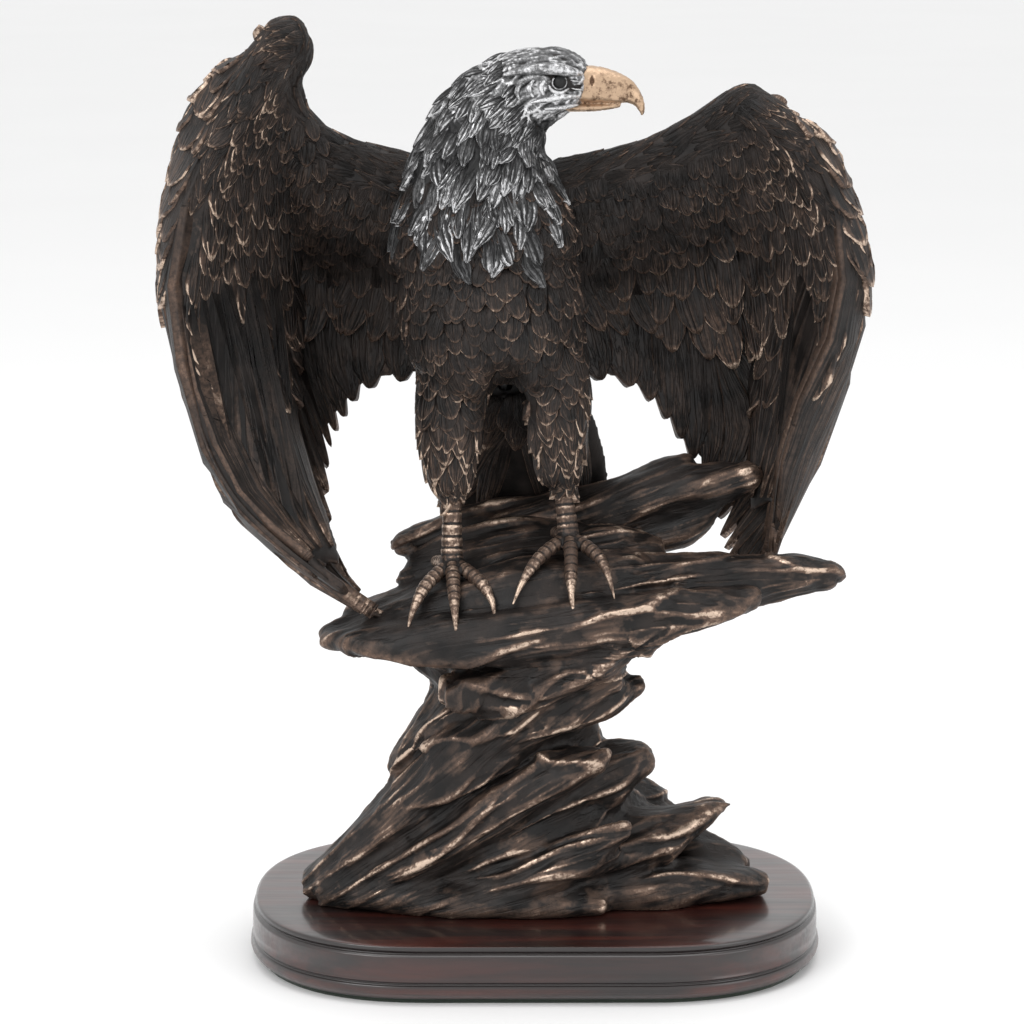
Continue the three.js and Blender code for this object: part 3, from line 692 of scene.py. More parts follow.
def lay(tree, feathers, shape_name):
    """One mesh of feathers laid on the skin that tree holds."""
    shape = FEATHER_SHAPES[shape_name]
    template = feather_template(shape.get("cells", TEMPLATE_CELLS))
    corner = points_of(template)
    u, v, under = corner[:, 0], corner[:, 1], corner[:, 2] < -0.5
    y = np.clip(v - shape["tip"] * u**2 * v**3, 0, 1)
    width = spline(np.array(shape["widths"])[:, None], v)[:, 0] * np.where(under, 0.94, 1.0)
    steps = np.linspace(0, 1, SPINE_STEPS + 1)
    bm = bmesh.new()
    places = np.empty((len(feathers), len(corner), 3))
    for index, feather in enumerate(feathers):
        bm.from_mesh(template)
        points, normals, headings = feather.spine
        normals = unit(smooth_along(normals))
        p = np.stack([np.interp(y, steps, points[:, k]) for k in range(3)], 1)
        n = unit(np.stack([np.interp(y, steps, normals[:, k]) for k in range(3)], 1))
        h = np.stack([np.interp(y, steps, headings[:, k]) for k in range(3)], 1)
        side = unit(np.cross(h, n))
        half = np.interp(y, steps, feather.widths) * width
        spot = p + side * (u * half)[:, None]
        for k in range(len(spot)):
            skin = tree.find_nearest(Vector(spot[k]))[0]
            drop = float(np.dot(np.array(skin) - spot[k], n[k]))
            spot[k] += n[k] * drop
        mean = float(np.mean(feather.widths))
        height = np.interp(y, steps, np.broadcast_to(feather.thick, len(steps)))
        height += feather.lift * v**1.5 + feather.tilt * u * np.sin(math.pi * v * 0.9)
        height += shape["crown"] * mean * (1 - u**2) * np.sin(math.pi * np.clip(v, 0.05, 0.95))
        height += shape["keel"] * mean * np.clip(1 - np.abs(u) * 2.2, 0, 1) * v
        height += shape.get("ridge", 0.0) * mean * np.cos(3 * math.pi * u) * np.sin(math.pi * v * 0.85)
        edge = np.maximum(np.abs(u) * np.clip(v * 1.6, 0, 1), v)
        height += shape.get("rim", 0.0) * MM * np.clip((edge - 0.6) / 0.35, 0, 1)
        height -= 1.2 * UNDERSIDE_DEPTH * (1 - v) ** 4
        height = np.where(under, -UNDERSIDE_DEPTH, height)
        places[index] = spot + n * height[:, None]
    mesh = to_mesh(bm, "feathers")
    bpy.data.meshes.remove(template)
    set_points(mesh, places.reshape(-1, 3))
    set_attribute(mesh, "rub", np.repeat([f.rub for f in feathers], len(corner)))
    return mesh


def tapering(width):
    return np.full(SPINE_STEPS + 1, width / 2)


# ---------------------------------------------------------------------------------------------
# Wings
# ---------------------------------------------------------------------------------------------

# Ribs run from the leading edge to the trailing edge, from the shoulder out over the wrist to the
# tip. The arm runs from the shoulder to the wrist, and the hand from the wrist to the tip.
WINGS = {
    "left": {
        "ribs": (
            ((-38, 10, 301), (-38, 14, 280), (-38, 16, 256), (-38, 16, 235), (-36, 15, 218)),
            ((-66, 8, 308), (-71, 24, 283), (-71, 33, 255), (-68, 33, 230), (-62, 28, 211)),
            ((-92, 2, 322), (-95, 24, 288), (-93, 37, 252), (-84, 38, 223), (-72, 31, 199)),
            ((-91, -6, 346), (-109, 8, 325), (-109, 32, 272), (-96, 41, 228), (-77, 30, 186)),
            ((-103, -18, 336), (-124, -2, 321), (-128, 25, 271), (-106, 38, 221), (-78, 22, 170)),
            ((-119, -26, 305), (-133, -6, 286), (-132, 19, 240), (-113, 30, 195), (-75, 9, 158)),
            ((-130, -27, 272), (-135, -12, 258), (-128, 9, 215), (-107, 18, 179), (-71, -2, 147)),
            ((-128, -29, 233), (-129, -16, 226), (-120, -2, 197), (-98, 2, 166), (-64, -13, 140)),
            ((-109, -35, 183), (-111, -24, 180), (-103, -16, 165), (-84, -16, 149), (-59, -20, 136)),
            ((-55, -36, 136), (-53, -35, 135), (-51, -34, 134), (-49, -33, 133), (-47, -32, 132)),
        ),
        "arm": (
            (-30, 7, 288, 12, 10),
            (-40, 8, 291, 11, 10),
            (-56, 9, 297, 9, 8.5),
            (-74, 7, 303, 8, 7.5),
            (-88, 2, 315, 7, 7),
            (-94, -2, 329, 6.5, 6.5),
            (-89, -5, 342, 8, 8),
            (-87, -6, 349, 5.5, 5.5),
        ),
        "hand": (
            (-85, -6, 348, 6, 6),
            (-92, -10, 346, 8, 7.5),
            (-106, -20, 325, 6.4, 6),
            (-118, -25, 302, 4.6, 4.4),
            (-129, -26, 273, 2.8, 3.0),
            (-127, -28, 236, 2.0, 2.2),
            (-109, -34, 185, 1.3, 1.5),
        ),
        "arm web": (
            ((-34, 0, 287), (-36, 5, 271), (-38, 17, 252)),
            ((-56, 2, 293), (-58, 10, 275), (-60, 29, 253)),
            ((-74, 1, 299), (-77, 12, 279), (-80, 35, 256)),
            ((-87, -3, 311), (-90, 10, 288), (-92, 37, 260)),
            ((-93, -8, 328), (-97, 6, 301), (-101, 33, 271)),
        ),
        "web": (
            ((-90, -12, 342), (-87, -5, 334), (-84, 4, 324)),
            ((-105, -21, 324), (-99, -10, 317), (-86, 8, 308)),
            ((-116, -25, 302), (-108, -12, 297), (-88, 18, 290)),
            ((-122, -27, 278), (-113, -12, 273), (-90, 27, 266)),
            ((-128, -27, 254), (-117, -12, 249), (-90, 35, 242)),
            ((-127, -28, 232), (-116, -14, 226), (-90, 32, 218)),
            ((-119, -32, 207), (-108, -21, 202), (-88, 12, 194)),
            ((-106, -35, 181), (-96, -28, 177), (-77, -6, 168)),
            ((-80, -36, 156), (-76, -33, 153), (-70, -28, 150)),
        ),
        "edge quills": ((-0.01, 0.6, 0.96, 0.9), (0.05, 0.6, 0.97, 0.7)),
        "marginals end": 0.67,
    },
    "right": {
        "ribs": (
            ((6, 10, 301), (7, 14, 280), (8, 16, 256), (10, 16, 235), (12, 15, 218)),
            ((38, 5, 308), (38, 20, 282), (39, 30, 254), (38, 32, 228), (36, 26, 212)),
            ((60, 1, 318), (58, 19, 286), (57, 30, 250), (54, 32, 221), (50, 26, 199)),
            ((78, -5, 328), (77, 14, 292), (73, 28, 246), (68, 32, 207), (60, 28, 183)),
            ((89, -13, 319), (104, 0, 307), (109, 22, 266), (95, 31, 211), (67, 27, 169)),
            ((104, -19, 295), (115, -6, 283), (117, 14, 241), (102, 24, 197), (69, 22, 158)),
            ((112, -18, 271), (120, -8, 262), (118, 7, 230), (106, 14, 189), (70, 17, 151)),
            ((111, -15, 241), (115, -8, 233), (111, 2, 212), (100, 9, 177), (71, 14, 146)),
            ((93, -7, 197), (98, -4, 193), (96, 2, 175), (90, 6, 157), (75, 11, 143)),
            ((88, 5, 148), (87, 6, 146), (86, 7, 144), (84, 8, 142), (80, 9, 141)),
        ),
        "arm": (
            (-4, 7, 287, 12, 10),
            (6, 8, 289, 11, 10),
            (20, 9, 293, 9, 9),
            (40, 6, 301, 7.5, 7.5),
            (60, 2, 312, 7, 7),
            (76, -3, 322, 8, 7.5),
            (82, -6, 325, 6, 6),
        ),
        "hand": (
            (76, -4, 324, 7, 7),
            (88, -11, 316, 6.5, 6.5),
            (103, -17, 296, 5, 4.8),
            (111, -16, 271, 3.6, 3.6),
            (111, -13, 241, 2.4, 2.6),
            (94, -6, 198, 1.4, 1.6),
        ),
        "arm web": (
            ((2, -1, 285), (4, 6, 269), (7, 17, 251)),
            ((20, 1, 289), (22, 9, 271), (24, 25, 250)),
            ((40, 0, 297), (40, 10, 278), (39, 30, 253)),
            ((60, -4, 308), (59, 8, 284), (57, 29.5, 255)),
            ((77, -9, 318), (77, 4, 292), (74, 28, 260)),
            ((92, -15, 309), (88, -3, 288), (80, 26, 258)),
        ),
        "web": (
            ((82, -9, 321), (80, -2, 315), (76, 6, 305)),
            ((94, -15, 307), (89, -6, 301), (77, 12, 291)),
            ((104, -17, 290), (97, -7, 284), (79, 20, 273)),
            ((111, -16, 267), (103, -5, 261), (82, 26, 250)),
            ((113, -13, 242), (105, -3, 236), (83, 28, 225)),
            ((108, -9, 217), (101, -1, 211), (83, 24, 202)),
            ((99, -4, 196), (94, 2, 190), (82, 17, 183)),
            ((91, 2, 172), (88, 5, 168), (81, 12, 162)),
        ),
        "edge quills": ((-0.01, 0.6, 0.96, 0.9),),
        "marginals end": 0.63,
    },
}
EDGE_THICK = 5.6 * MM
TRAIL_THICK = 2.4 * MM


class WingSheet:
    """The middle surface of a wing: s runs from shoulder to tip, t from leading to trailing edge."""

    def __init__(self, ribs):
        self.ribs = np.array(ribs, float) * MM
        middle = self.normal(np.array([0.3]), np.array([0.6]))[0]
        self.front = -1.0 if middle[1] > 0 else 1.0

    def at(self, s, t):
        s, t = np.broadcast_arrays(np.atleast_1d(s).astype(float), np.atleast_1d(t).astype(float))
        across = np.stack([spline(rib, t) for rib in self.ribs])
        padded = np.concatenate([2 * across[:1] - across[1:2], across, 2 * across[-1:] - across[-2:-1]])
        spans = len(across) - 1
        place = np.clip(s, 0, 1) * spans
        first = np.minimum(place.astype(int), spans - 1)
        u = (place - first)[:, None]
        pick = np.arange(len(s))
        a, b, c, d = (padded[first + k, pick] for k in range(4))
        return 0.5 * (
            2 * b + (c - a) * u + (2 * a - 5 * b + 4 * c - d) * u**2 + (3 * b - a - 3 * c + d) * u**3
        )

    def slope(self, s, t):
        step = 2e-3
        s, t = np.atleast_1d(s).astype(float), np.atleast_1d(t).astype(float)
        along = self.at(np.minimum(s + step, 1), t) - self.at(np.maximum(s - step, 0), t)
        across = self.at(s, t + step) - self.at(s, t - step)
        return along / (2 * step), across / (2 * step)

    def normal(self, s, t):
        along, across = self.slope(s, t)
        return unit(np.cross(along, across))

    def half_thick(self, t):
        return 0.5 * (EDGE_THICK + (TRAIL_THICK - EDGE_THICK) * np.clip(t, 0, 1))

    def tree(self, face):
        """The skin on the front (1) or back (-1) of the middle surface."""
        bm = bmesh.new()
        bmesh.ops.create_grid(bm, x_segments=150, y_segments=84, size=1.0)
        flat = np.array([v.co for v in bm.verts])
        s, t = (flat[:, 0] + 1) / 2, -0.05 + 1.15 * (flat[:, 1] + 1) / 2
        place = self.at(s, t)
        for vert, p in zip(bm.verts, place):
            vert.co = p
        bm.normal_update()
        facing = Vector(self.normal(np.array([0.3]), np.array([0.6]))[0] * self.front * face)
        point = Vector(self.at(np.array([0.3]), np.array([0.6]))[0])
        tree = BVHTree.FromBMesh(bm)
        if tree.find_nearest(point)[1].dot(facing) < 0:
            bmesh.ops.reverse_faces(bm, faces=bm.faces[:])
            tree = BVHTree.FromBMesh(bm)
        bm.free()
        return tree


def add_shell(bm, sheet, first, reach, cells):
    """Adds a closed shell round a sheet's middle surface, from first to reach of its chord."""
    start = len(bm.verts)
    made = bmesh.ops.create_grid(bm, x_segments=cells[0], y_segments=cells[1], size=1.0)
    faces = list({face for vert in made["verts"] for face in vert.link_faces})
    grown = bmesh.ops.extrude_face_region(bm, geom=faces, use_keep_orig=True)["geom"]
    lifted = [g for g in grown if isinstance(g, bmesh.types.BMVert)]
    bmesh.ops.translate(bm, verts=lifted, vec=(0, 0, 1))
    bm.verts.ensure_lookup_table()
    verts = bm.verts[start:]
    flat = np.array([v.co for v in verts])
    s, t = (flat[:, 0] + 1) / 2 * 0.97, first + (reach - first) * (flat[:, 1] + 1) / 2
    outward = (flat[:, 2] * 2 - 1) * sheet.half_thick(t) * 0.85
    place = sheet.at(s, t) + sheet.normal(s, t) * outward[:, None]
    for vert, p in zip(verts, place):
        vert.co = p


def wing_core(sheet, web, plan):
    """The casting under the feathers: a tapering shell with the arm and the hand on its edge, and
    the web that fills the hollow behind the hand."""
    bm = bmesh.new()
    add_shell(bm, sheet, 0.0, 0.955, (110, 56))
    add_shell(bm, web, -0.07, 1.0, (80, 26))
    add_shell(bm, WingSheet(plan["arm web"]), 0.0, 1.0, (60, 30))
    loft(bm, plan["arm"], 40, 24)
    loft(bm, plan["hand"], 40, 20)
    return remeshed(bm, sizes().skin_voxel, 20)


def leading_quills(sheet, plan):
    """Long thin shafts down the lower leading edge, from the hand to the tip."""
    bm = bmesh.new()
    for t, start, end, radius in plan["edge quills"]:
        s = np.linspace(start, end, 12)
        taper = np.sin(np.linspace(0.35, math.pi * 0.9, 12))
        spots = sheet.at(s, np.full(12, t)) - sheet.normal(s, np.full(12, t)) * sheet.front * 0.0006
        path = np.column_stack([spots / MM, radius * taper, radius * taper])
        loft(bm, path, 60, 10)
    return bm


def flow_spine(sheet, face, start, end, bow=0.0):
    """A spine straight in the sheet's own coordinates from start to end, bowed sideways."""
    f = np.linspace(0, 1, SPINE_STEPS + 1)
    s = start[0] + (end[0] - start[0]) * f
    t = start[1] + (end[1] - start[1]) * f + bow * np.sin(math.pi * f)
    points = sheet.at(s, t)
    headings = unit(np.gradient(points, axis=0))
    return (points, sheet.normal(s, t) * sheet.front * face, headings), sheet.half_thick(t)


PRIMARIES = (
    ((0.50, 0.03), (0.955, 0.14)),
    ((0.47, 0.13), (0.985, 0.42)),
    ((0.45, 0.22), (0.965, 0.68)),
    ((0.43, 0.31), (0.95, 0.94)),
    ((0.41, 0.39), (0.875, 0.975)),
    ((0.395, 0.455), (0.79, 0.98)),
    ((0.375, 0.50), (0.70, 0.98)),
    ((0.355, 0.53), (0.615, 0.985)),
    ((0.33, 0.55), (0.53, 0.985)),
    ((0.305, 0.55), (0.45, 0.985)),
)
SECONDARIES = tuple(((0.275 - 0.041 * k, 0.54), (0.385 - 0.055 * k, 0.985)) for k in range(7))


# The blades that run down the web behind the hand.
WEB_BLADES = tuple(
    ((0.44 - 0.01 * k, 0.02 + 0.16 * k), (0.985 - 0.01 * k, 0.18 * k)) for k in range(6)
)


def flight_feathers(sheet, face, plan, rng):
    """The long flight feathers on one face, each one's edge lying over the next."""
    feathers = []
    bow = 0.02 if face > 0 else 0.0
    for k, (start, end) in enumerate(plan):
        spine, half_thick = flow_spine(sheet, face, start, end, bow)
        other = plan[k + 1] if k + 1 < len(plan) else plan[k - 1]
        gap = np.linalg.norm(spine[0] - flow_spine(sheet, face, *other, bow)[0][0], axis=1)
        f = np.linspace(0, 1, SPINE_STEPS + 1)
        shade = (1.0 - 0.6 * max(0, k - 5) / 11) * (0.6 if start[1] < 0.1 else 1.0)
        feathers.append(
            Feather(
                spine,
                np.clip(gap * 0.74, 0.0025, 0.0085) * (1 - 0.1 * f),
                0.3 * MM,
                half_thick * 0.85 + rng.uniform(0.3, 0.45) * MM,
                0.6 * MM * face * sheet.front,
                rng.uniform(0.8, 1.15) * shade,
            )
        )
    return feathers


def skin_spot(sheet, tree, s, t, face):
    """Where the wing's skin lies over or under the place (s, t) of its middle surface."""
    out = Vector(sheet.normal(s, t)[0] * sheet.front * face)
    middle = Vector(sheet.at(s, t)[0])
    hit = tree.ray_cast(middle + out * 0.036, -out, 0.05)[0]
    return hit or middle + out * float(sheet.half_thick(t))


# Rows of coverts: place across the wing, feather width and feather length in millimetres.
ARM_ROWS = (
    (0.05, 5.2, 9), (0.095, 6.0, 11), (0.145, 6.8, 12), (0.2, 7.6, 13.5),
    (0.255, 8.4, 15), (0.315, 9.2, 17), (0.38, 9.8, 20), (0.435, 10.2, 24), (0.48, 10.4, 26),
)
HAND_COLUMNS = ((0.24, 8.8), (0.305, 9.2), (0.375, 9.4), (0.45, 9.4))


def arc_along(sheet, first, last, t):
    """Places s from first to last at a fixed t, and how far along the skin each lies."""
    s = np.linspace(first, last, 160)
    path = sheet.at(s, np.full(160, t))
    return s, np.concatenate([[0], np.cumsum(np.linalg.norm(np.diff(path, axis=0), axis=1))])


def covert(sheet, tree, face, place, size, heading, lift, rub, rng):
    """One covert at place (s, t) whose heading is given as parts along and across the wing."""
    s, t = place[0] + rng.uniform(-0.005, 0.005), place[1] + rng.uniform(-0.011, 0.011)
    along, across = sheet.slope(np.array([s]), np.array([t]))
    way = Vector(unit(along)[0] * heading[0] + unit(across)[0] * heading[1])
    way.rotate(Matrix.Rotation(rng.uniform(-0.14, 0.14), 3, Vector(sheet.normal(s, t)[0])))
    grow = rng.uniform(0.86, 1.14)
    root = skin_spot(sheet, tree, s, t, face)
    spine = spine_along(tree, root, way, size[1] * grow, rng.uniform(-0.18, 0.18))
    width = tapering(size[0] * grow * rng.uniform(0.92, 1.06))
    return Feather(spine, width, lift * rng.uniform(0.75, 1.25), 0.3 * MM, rng.uniform(-0.35, 0.35) * MM, rub)


def coverts(sheet, tree, face, rng):
    """Rows of coverts. On the arm they point to the trailing edge, and on the hand to the tip."""
    feathers = []
    scale = sizes().covert_width / 0.0096
    for row, (t, width, size) in enumerate(ARM_ROWS):
        width, size = width * MM * scale, size * MM * scale
        span, gone = arc_along(sheet, 0.0, 0.41, t)
        count = max(3, int(gone[-1] / (width * 0.82)))
        f = row / (len(ARM_ROWS) - 1)
        for k in range(count):
            s = float(np.interp((k + 0.5 * (row % 2)) / count * gone[-1], gone, span))
            rub = (0.5 + 0.95 * (s / 0.41) ** 1.3) * (0.75 + 0.3 * f) * rng.uniform(0.5, 1.3)
            heading = (0.1 + 0.9 * s, 1.0)
            lift = (1.1 + 1.0 * f) * MM
            feathers.append(covert(sheet, tree, face, (s, t), (width, size), heading, lift, rub, rng))
    if face > 0:
        return feathers
    for column, (t, width) in enumerate(HAND_COLUMNS):
        f = column / (len(HAND_COLUMNS) - 1)
        width = width * MM * scale
        span, gone = arc_along(sheet, 0.345, 0.60 - 0.06 * f, t)
        count = max(4, int(gone[-1] / (width * 1.15)))
        for k in range(count):
            g = (k + 0.5 * (column % 2)) / count
            s = float(np.interp(g * gone[-1], gone, span))
            size = (width * (0.85 + 0.35 * g), width * (2.0 + 0.9 * g))
            rub = rng.uniform(0.75, 1.25)
            heading = (1.0, 0.12 + 0.3 * f)
            feathers.append(covert(sheet, tree, face, (s, t), size, heading, 1.5 * MM, rub, rng))
    return feathers


def web_coverts(web, tree, rng):
    """Coverts down the web behind the hand, longest in the last row."""
    feathers = []
    scale = sizes().covert_width / 0.0096
    span, gone = arc_along(web, 0.03, 0.6, 0.4)
    done, row = 0.0, 0
    while done < gone[-1]:
        f = done / gone[-1]
        s = float(np.interp(done, gone, span))
        width, size = (5.6 + 5.6 * f) * MM * scale, (11 + 16 * f) * MM * scale
        chord = np.linalg.norm(np.diff(web.at(np.full(20, s), np.linspace(0, 1, 20)), axis=0), axis=1).sum()
        count = max(3, int(chord / (width * 0.82)))
        for k in range(count):
            t = (k + 0.35 + 0.5 * (row % 2)) / (count + 0.35)
            rub = rng.uniform(0.7, 1.5) * (1.3 - 0.6 * t)
            heading = (1.0, 0.05 + 0.2 * t)
            place, lift = (s + 0.02 * t, t), (1.0 + 0.8 * f) * MM
            feathers.append(covert(web, tree, 1, place, (width, size), heading, lift, rub, rng))
        done += size * 0.36
        row += 1
    return feathers


def marginal_coverts(sheet, tree, plan, rng):
    """The big overlapping scales on the back of the leading edge, from the wrist down the hand."""
    feathers = []
    width = sizes().marginal_width
    for column, t in enumerate((0.07, 0.13, 0.21, 0.3)):
        span, gone = arc_along(sheet, 0.33, plan["marginals end"] - 0.015 * column, t)
        count = int(gone[-1] / (width * 0.66))
        for k in range(count):
            g = ((k + 0.5 * (column % 2)) / count) ** 1.12
            s = float(np.interp(g * gone[-1], gone, span))
            grow = 0.62 + 0.5 * min(1, 1.5 * g)
            size = (width * grow * rng.uniform(0.8, 1.12), width * grow * rng.uniform(1.3, 1.75))
            rub = rng.uniform(0.9, 1.5) * (0.55 if column == 0 else 1.0)
            if column == 0:
                size = (0.72 * size[0], size[1])
            feathers.append(covert(sheet, tree, -1, (s, t), size, (1.0, 0.1), 1.9 * MM, rub, rng))
    return feathers


def limb_feathers(tree, stations, widths, lengths, until, rub, lift, rng):
    """Feathers all round an arm or a hand, pointing along it. Widths and lengths are given for the
    first row and for the last."""
    feathers = []
    path = np.array(stations, float)
    total = np.linalg.norm(np.diff(path[:, :3], axis=0), axis=1).sum() * MM * until
    rows = int(total / (sum(lengths) / 2 * 0.4))
    for row in range(rows):
        f = row / rows
        place = until * f
        width, size = (pair[0] + (pair[1] - pair[0]) * f for pair in (widths, lengths))
        middle = spline(path, place)[0] * MM
        ahead = unit(spline(path, place + 0.02)[0, :3] - spline(path, place - 0.02)[0, :3])
        side = unit(np.cross(ahead, (0.0, 1.0, 0.0)))
        front = np.cross(side, ahead)
        radius = max(middle[3], middle[4])
        count = max(6, int(2 * math.pi * radius / (width * 0.8)))
        for k in range(count):
            angle = 2 * math.pi * (k + 0.5 * (row % 2)) / count + rng.uniform(-0.1, 0.1)
            out = Vector(side * math.sin(angle) + front * math.cos(angle))
            start = Vector(middle[:3]) + out * (radius * 1.6 + 0.004)
            hit, normal, _, _ = tree.ray_cast(start, -out, radius * 2)
            if hit is None or (hit - Vector(middle[:3])).length > radius * 1.45:
                continue
            way = Vector(ahead)
            way.rotate(Matrix.Rotation(rng.uniform(-0.28, 0.28), 3, normal))
            grow = rng.uniform(0.8, 1.2)
            feathers.append(
                Feather(
                    spine_along(tree, hit, way, size * grow, rng.uniform(-0.25, 0.25)),
                    tapering(width * grow),
                    lift * rng.uniform(0.7, 1.3),
                    0.25 * MM,
                    rng.uniform(-0.3, 0.3) * MM,
                    rub * rng.uniform(0.5, 1.3),
                )
            )
    return feathers


def build_wing(side):
    """One wing: the casting, its leading quills, arm feathers, blades, flight feathers and coverts."""
    plan = WINGS[side]
    sheet = WingSheet(plan["ribs"])
    rng = random.Random(SEED + len(side))
    web = WingSheet(plan["web"])
    core = wing_core(sheet, web, plan)
    tree = tree_of(core)
    set_attribute(core, "crest", np.clip(0.5 * crest(core, 8) - 0.3, -1, 1))
    skinned(core, f"wing_{side}_casting", material("bronze casting"), [f"wing_{side}"])
    quills = to_mesh(leading_quills(sheet, plan))
    set_attribute(quills, "crest", np.full(len(quills.vertices), 0.14))
    skinned(quills, f"wing_{side}_leading_quills", material("bronze casting"))
    down = limb_feathers(tree, plan["arm"], (0.0026, 0.0032), (0.016, 0.014), 1.0, 0.5, 0.3 * MM, rng)
    down += limb_feathers(tree, plan["hand"], (0.004, 0.0055), (0.013, 0.017), 0.55, 0.9, 0.8 * MM, rng)
    fluff = lay(tree, down, "lance")
    skinned(fluff, f"wing_{side}_arm_feathers", material("bronze feathers"))
    blades = lay(web.tree(1), flight_feathers(web, 1, WEB_BLADES, rng), "quill")
    skinned(blades, f"wing_{side}_hand_blades", material("bronze quills"))
    for face, name in ((1, "front"), (-1, "back")):
        quills = lay(sheet.tree(face), flight_feathers(sheet, face, PRIMARIES + SECONDARIES, rng), "quill")
        skinned(quills, f"wing_{side}_flight_feathers_{name}", material("bronze quills"))
        rows = coverts(sheet, tree, face, rng)
        if face > 0:
            rows += web_coverts(web, tree, rng)
        small = lay(tree, rows, "scale")
        skinned(small, f"wing_{side}_coverts_{name}", material("bronze feathers"))
    scales = lay(tree, marginal_coverts(sheet, tree, plan, rng), "shield")
    skinned(scales, f"wing_{side}_marginal_coverts", material("bronze feathers"))


# ---------------------------------------------------------------------------------------------
# Breast, thighs, neck and tail
# ---------------------------------------------------------------------------------------------

BREAST_AXIS = ((-18, 2, 296), (-18, 0, 275), (-17, -2, 250), (-15, 0, 230), (-13, 4, 212))
NECK_AXIS = (
    (-18, 0, 258), (-19, 1, 280), (-19, 2, 298), (-15, 1, 314), (-7, 1, 325), (4, 0, 330), (15, -1, 331),
)
THIGH_AXES = {
    "left": ((-29, 0, 240), (-30.5, -5, 218), (-32, -9, 201), (-32, -12, 189), (-31, -13, 180)),
    "right": ((6, 0, 240), (7.5, -5, 218), (8.5, -9, 202), (9, -10, 191), (9.5, -11, 183)),
}


def around(tree, axis, place, angle, reach=0.09):
    """Where a ray from outside meets the skin, aimed at the axis from an angle round it. Angle 0
    is the viewer's side."""
    middle = spline(np.array(axis) * MM, place)[0]
    ahead = unit(spline(np.array(axis) * MM, place + 0.02) - spline(np.array(axis) * MM, place - 0.02))[0]
    side = unit(np.cross(ahead, (0.0, 1.0, 0.0)))
    front = np.cross(side, ahead)
    if front[1] > 0:
        front = -front
    out = side * math.sin(angle) + front * math.cos(angle)
    hit, normal, _, _ = tree.ray_cast(Vector(middle + out * reach), Vector(-out))
    return hit, normal, ahead


def body_skin():
    """The torso, neck, head and thighs as one smooth skin."""
    bm = cad_copy("torso_casting", "head_casting", "thigh_left", "thigh_right")
    loft(bm, [(*p, 9, 8) for p in NECK_AXIS[:6]], 20, 16)
    mesh = remeshed(bm, sizes().skin_voxel, 14)
    co = points_of(mesh)
    between_legs = np.exp(-(((co[:, 0] + 0.0115) / 0.0085) ** 4))
    low = np.clip((0.238 - co[:, 2]) / 0.024, 0, 1)
    co[:, 2] += 0.011 * between_legs * low * low * (3 - 2 * low)
    set_points(mesh, co)
    return mesh


def plumage(tree, axis, rows, first, last, width_at, size_at, heading_sign, allow, rub_at, lift_at, rng):
    """Overlapping feathers in staggered rows round an axis, from place first to place last."""
    feathers = []
    for row in range(rows):
        f = row / (rows - 1)
        place = first + (last - first) * f
        width = width_at(f)
        ring = [around(tree, axis, place, k * math.pi / 8)[0] for k in range(16)]
        ring = [p for p in ring if p is not None]
        if len(ring) < 8:
            continue
        girth = sum((ring[k] - ring[k - 1]).length for k in range(len(ring)))
        count = max(6, int(girth / (width * 0.8)))
        for k in range(count):
            angle = 2 * math.pi * (k + 0.5 * (row % 2)) / count + rng.uniform(-0.09, 0.09)
            hit, normal, ahead = around(tree, axis, place + rng.uniform(-0.014, 0.014), angle)
            if hit is None or not allow(hit, angle, f):
                continue
            heading = Vector(ahead * heading_sign)
            heading.rotate(Matrix.Rotation(rng.uniform(-0.22, 0.22), 3, normal))
            grow = rng.uniform(0.78, 1.18)
            spine = spine_along(tree, hit, heading, size_at(f) * grow, rng.uniform(-0.2, 0.2))
            feathers.append(
                Feather(
                    spine,
                    tapering(width * grow),
                    lift_at(f),
                    0.5 * MM,
                    rng.uniform(-0.25, 0.25) * MM,
                    rub_at(hit, f) * rng.uniform(0.6, 1.2),
                )
            )
    return feathers


def silver_line(x):
    """How low the silver hackles reach at x: lowest in the middle of the breast."""
    return (0.262 + 26.0 * (x + 0.018) ** 2) if x > -0.018 else (0.262 + 17.0 * (x + 0.018) ** 2)


def build_breast():
    skin = body_skin()
    tree = tree_of(skin)
    set_attribute(skin, "crest", np.full(len(skin.vertices), -0.3))
    skinned(skin, "breast_casting", material("bronze casting"), ["torso_casting"])
    rng = random.Random(SEED + 20)
    width = sizes().breast_width
    feathers = plumage(
        tree,
        BREAST_AXIS,
        21,
        0.02,
        0.88,
        lambda f: width * (0.84 + 0.22 * f),
        lambda f: width * (1.3 + 0.2 * f),
        1.0,
        lambda hit, angle, f: True,
        lambda hit, f: 0.5 + 0.35 * f,
        lambda f: 1.3 * MM,
        rng,
    )
    skinned(lay(tree, feathers, "scale"), "breast_feathers", material("bronze feathers"))
    return tree


def build_thigh(side):
    """One thigh with its feathers down to the cuff over the shank."""
    bm = cad_copy(f"thigh_{side}")
    loft(bm, [(x, y, z, r, r) for x, y, z, r in FEET[side]["shank"]], 20, 16)
    core = remeshed(bm, 0.0009, 10)
    set_points(core, points_of(core) - normals_of(core) * 0.9 * MM)
    tree = tree_of(core)
    set_attribute(core, "crest", np.full(len(core.vertices), -0.3))
    skinned(core, f"thigh_{side}_casting", material("bronze casting"), [f"thigh_{side}"])
    rng = random.Random(SEED + 30 + len(side))
    width = sizes().thigh_width
    feathers = plumage(
        tree,
        THIGH_AXES[side],
        11,
        0.04,
        0.83,
        lambda f: width * (1.1 - 0.3 * f),
        lambda f: width * (1.9 - 0.2 * f),
        1.0,
        lambda hit, angle, f: True,
        lambda hit, f: 1.3 + 0.7 * f,
        lambda f: 2.0 * MM,
        rng,
    )
    skinned(lay(tree, feathers, "lance"), f"thigh_{side}_feathers", material("bronze feathers"))


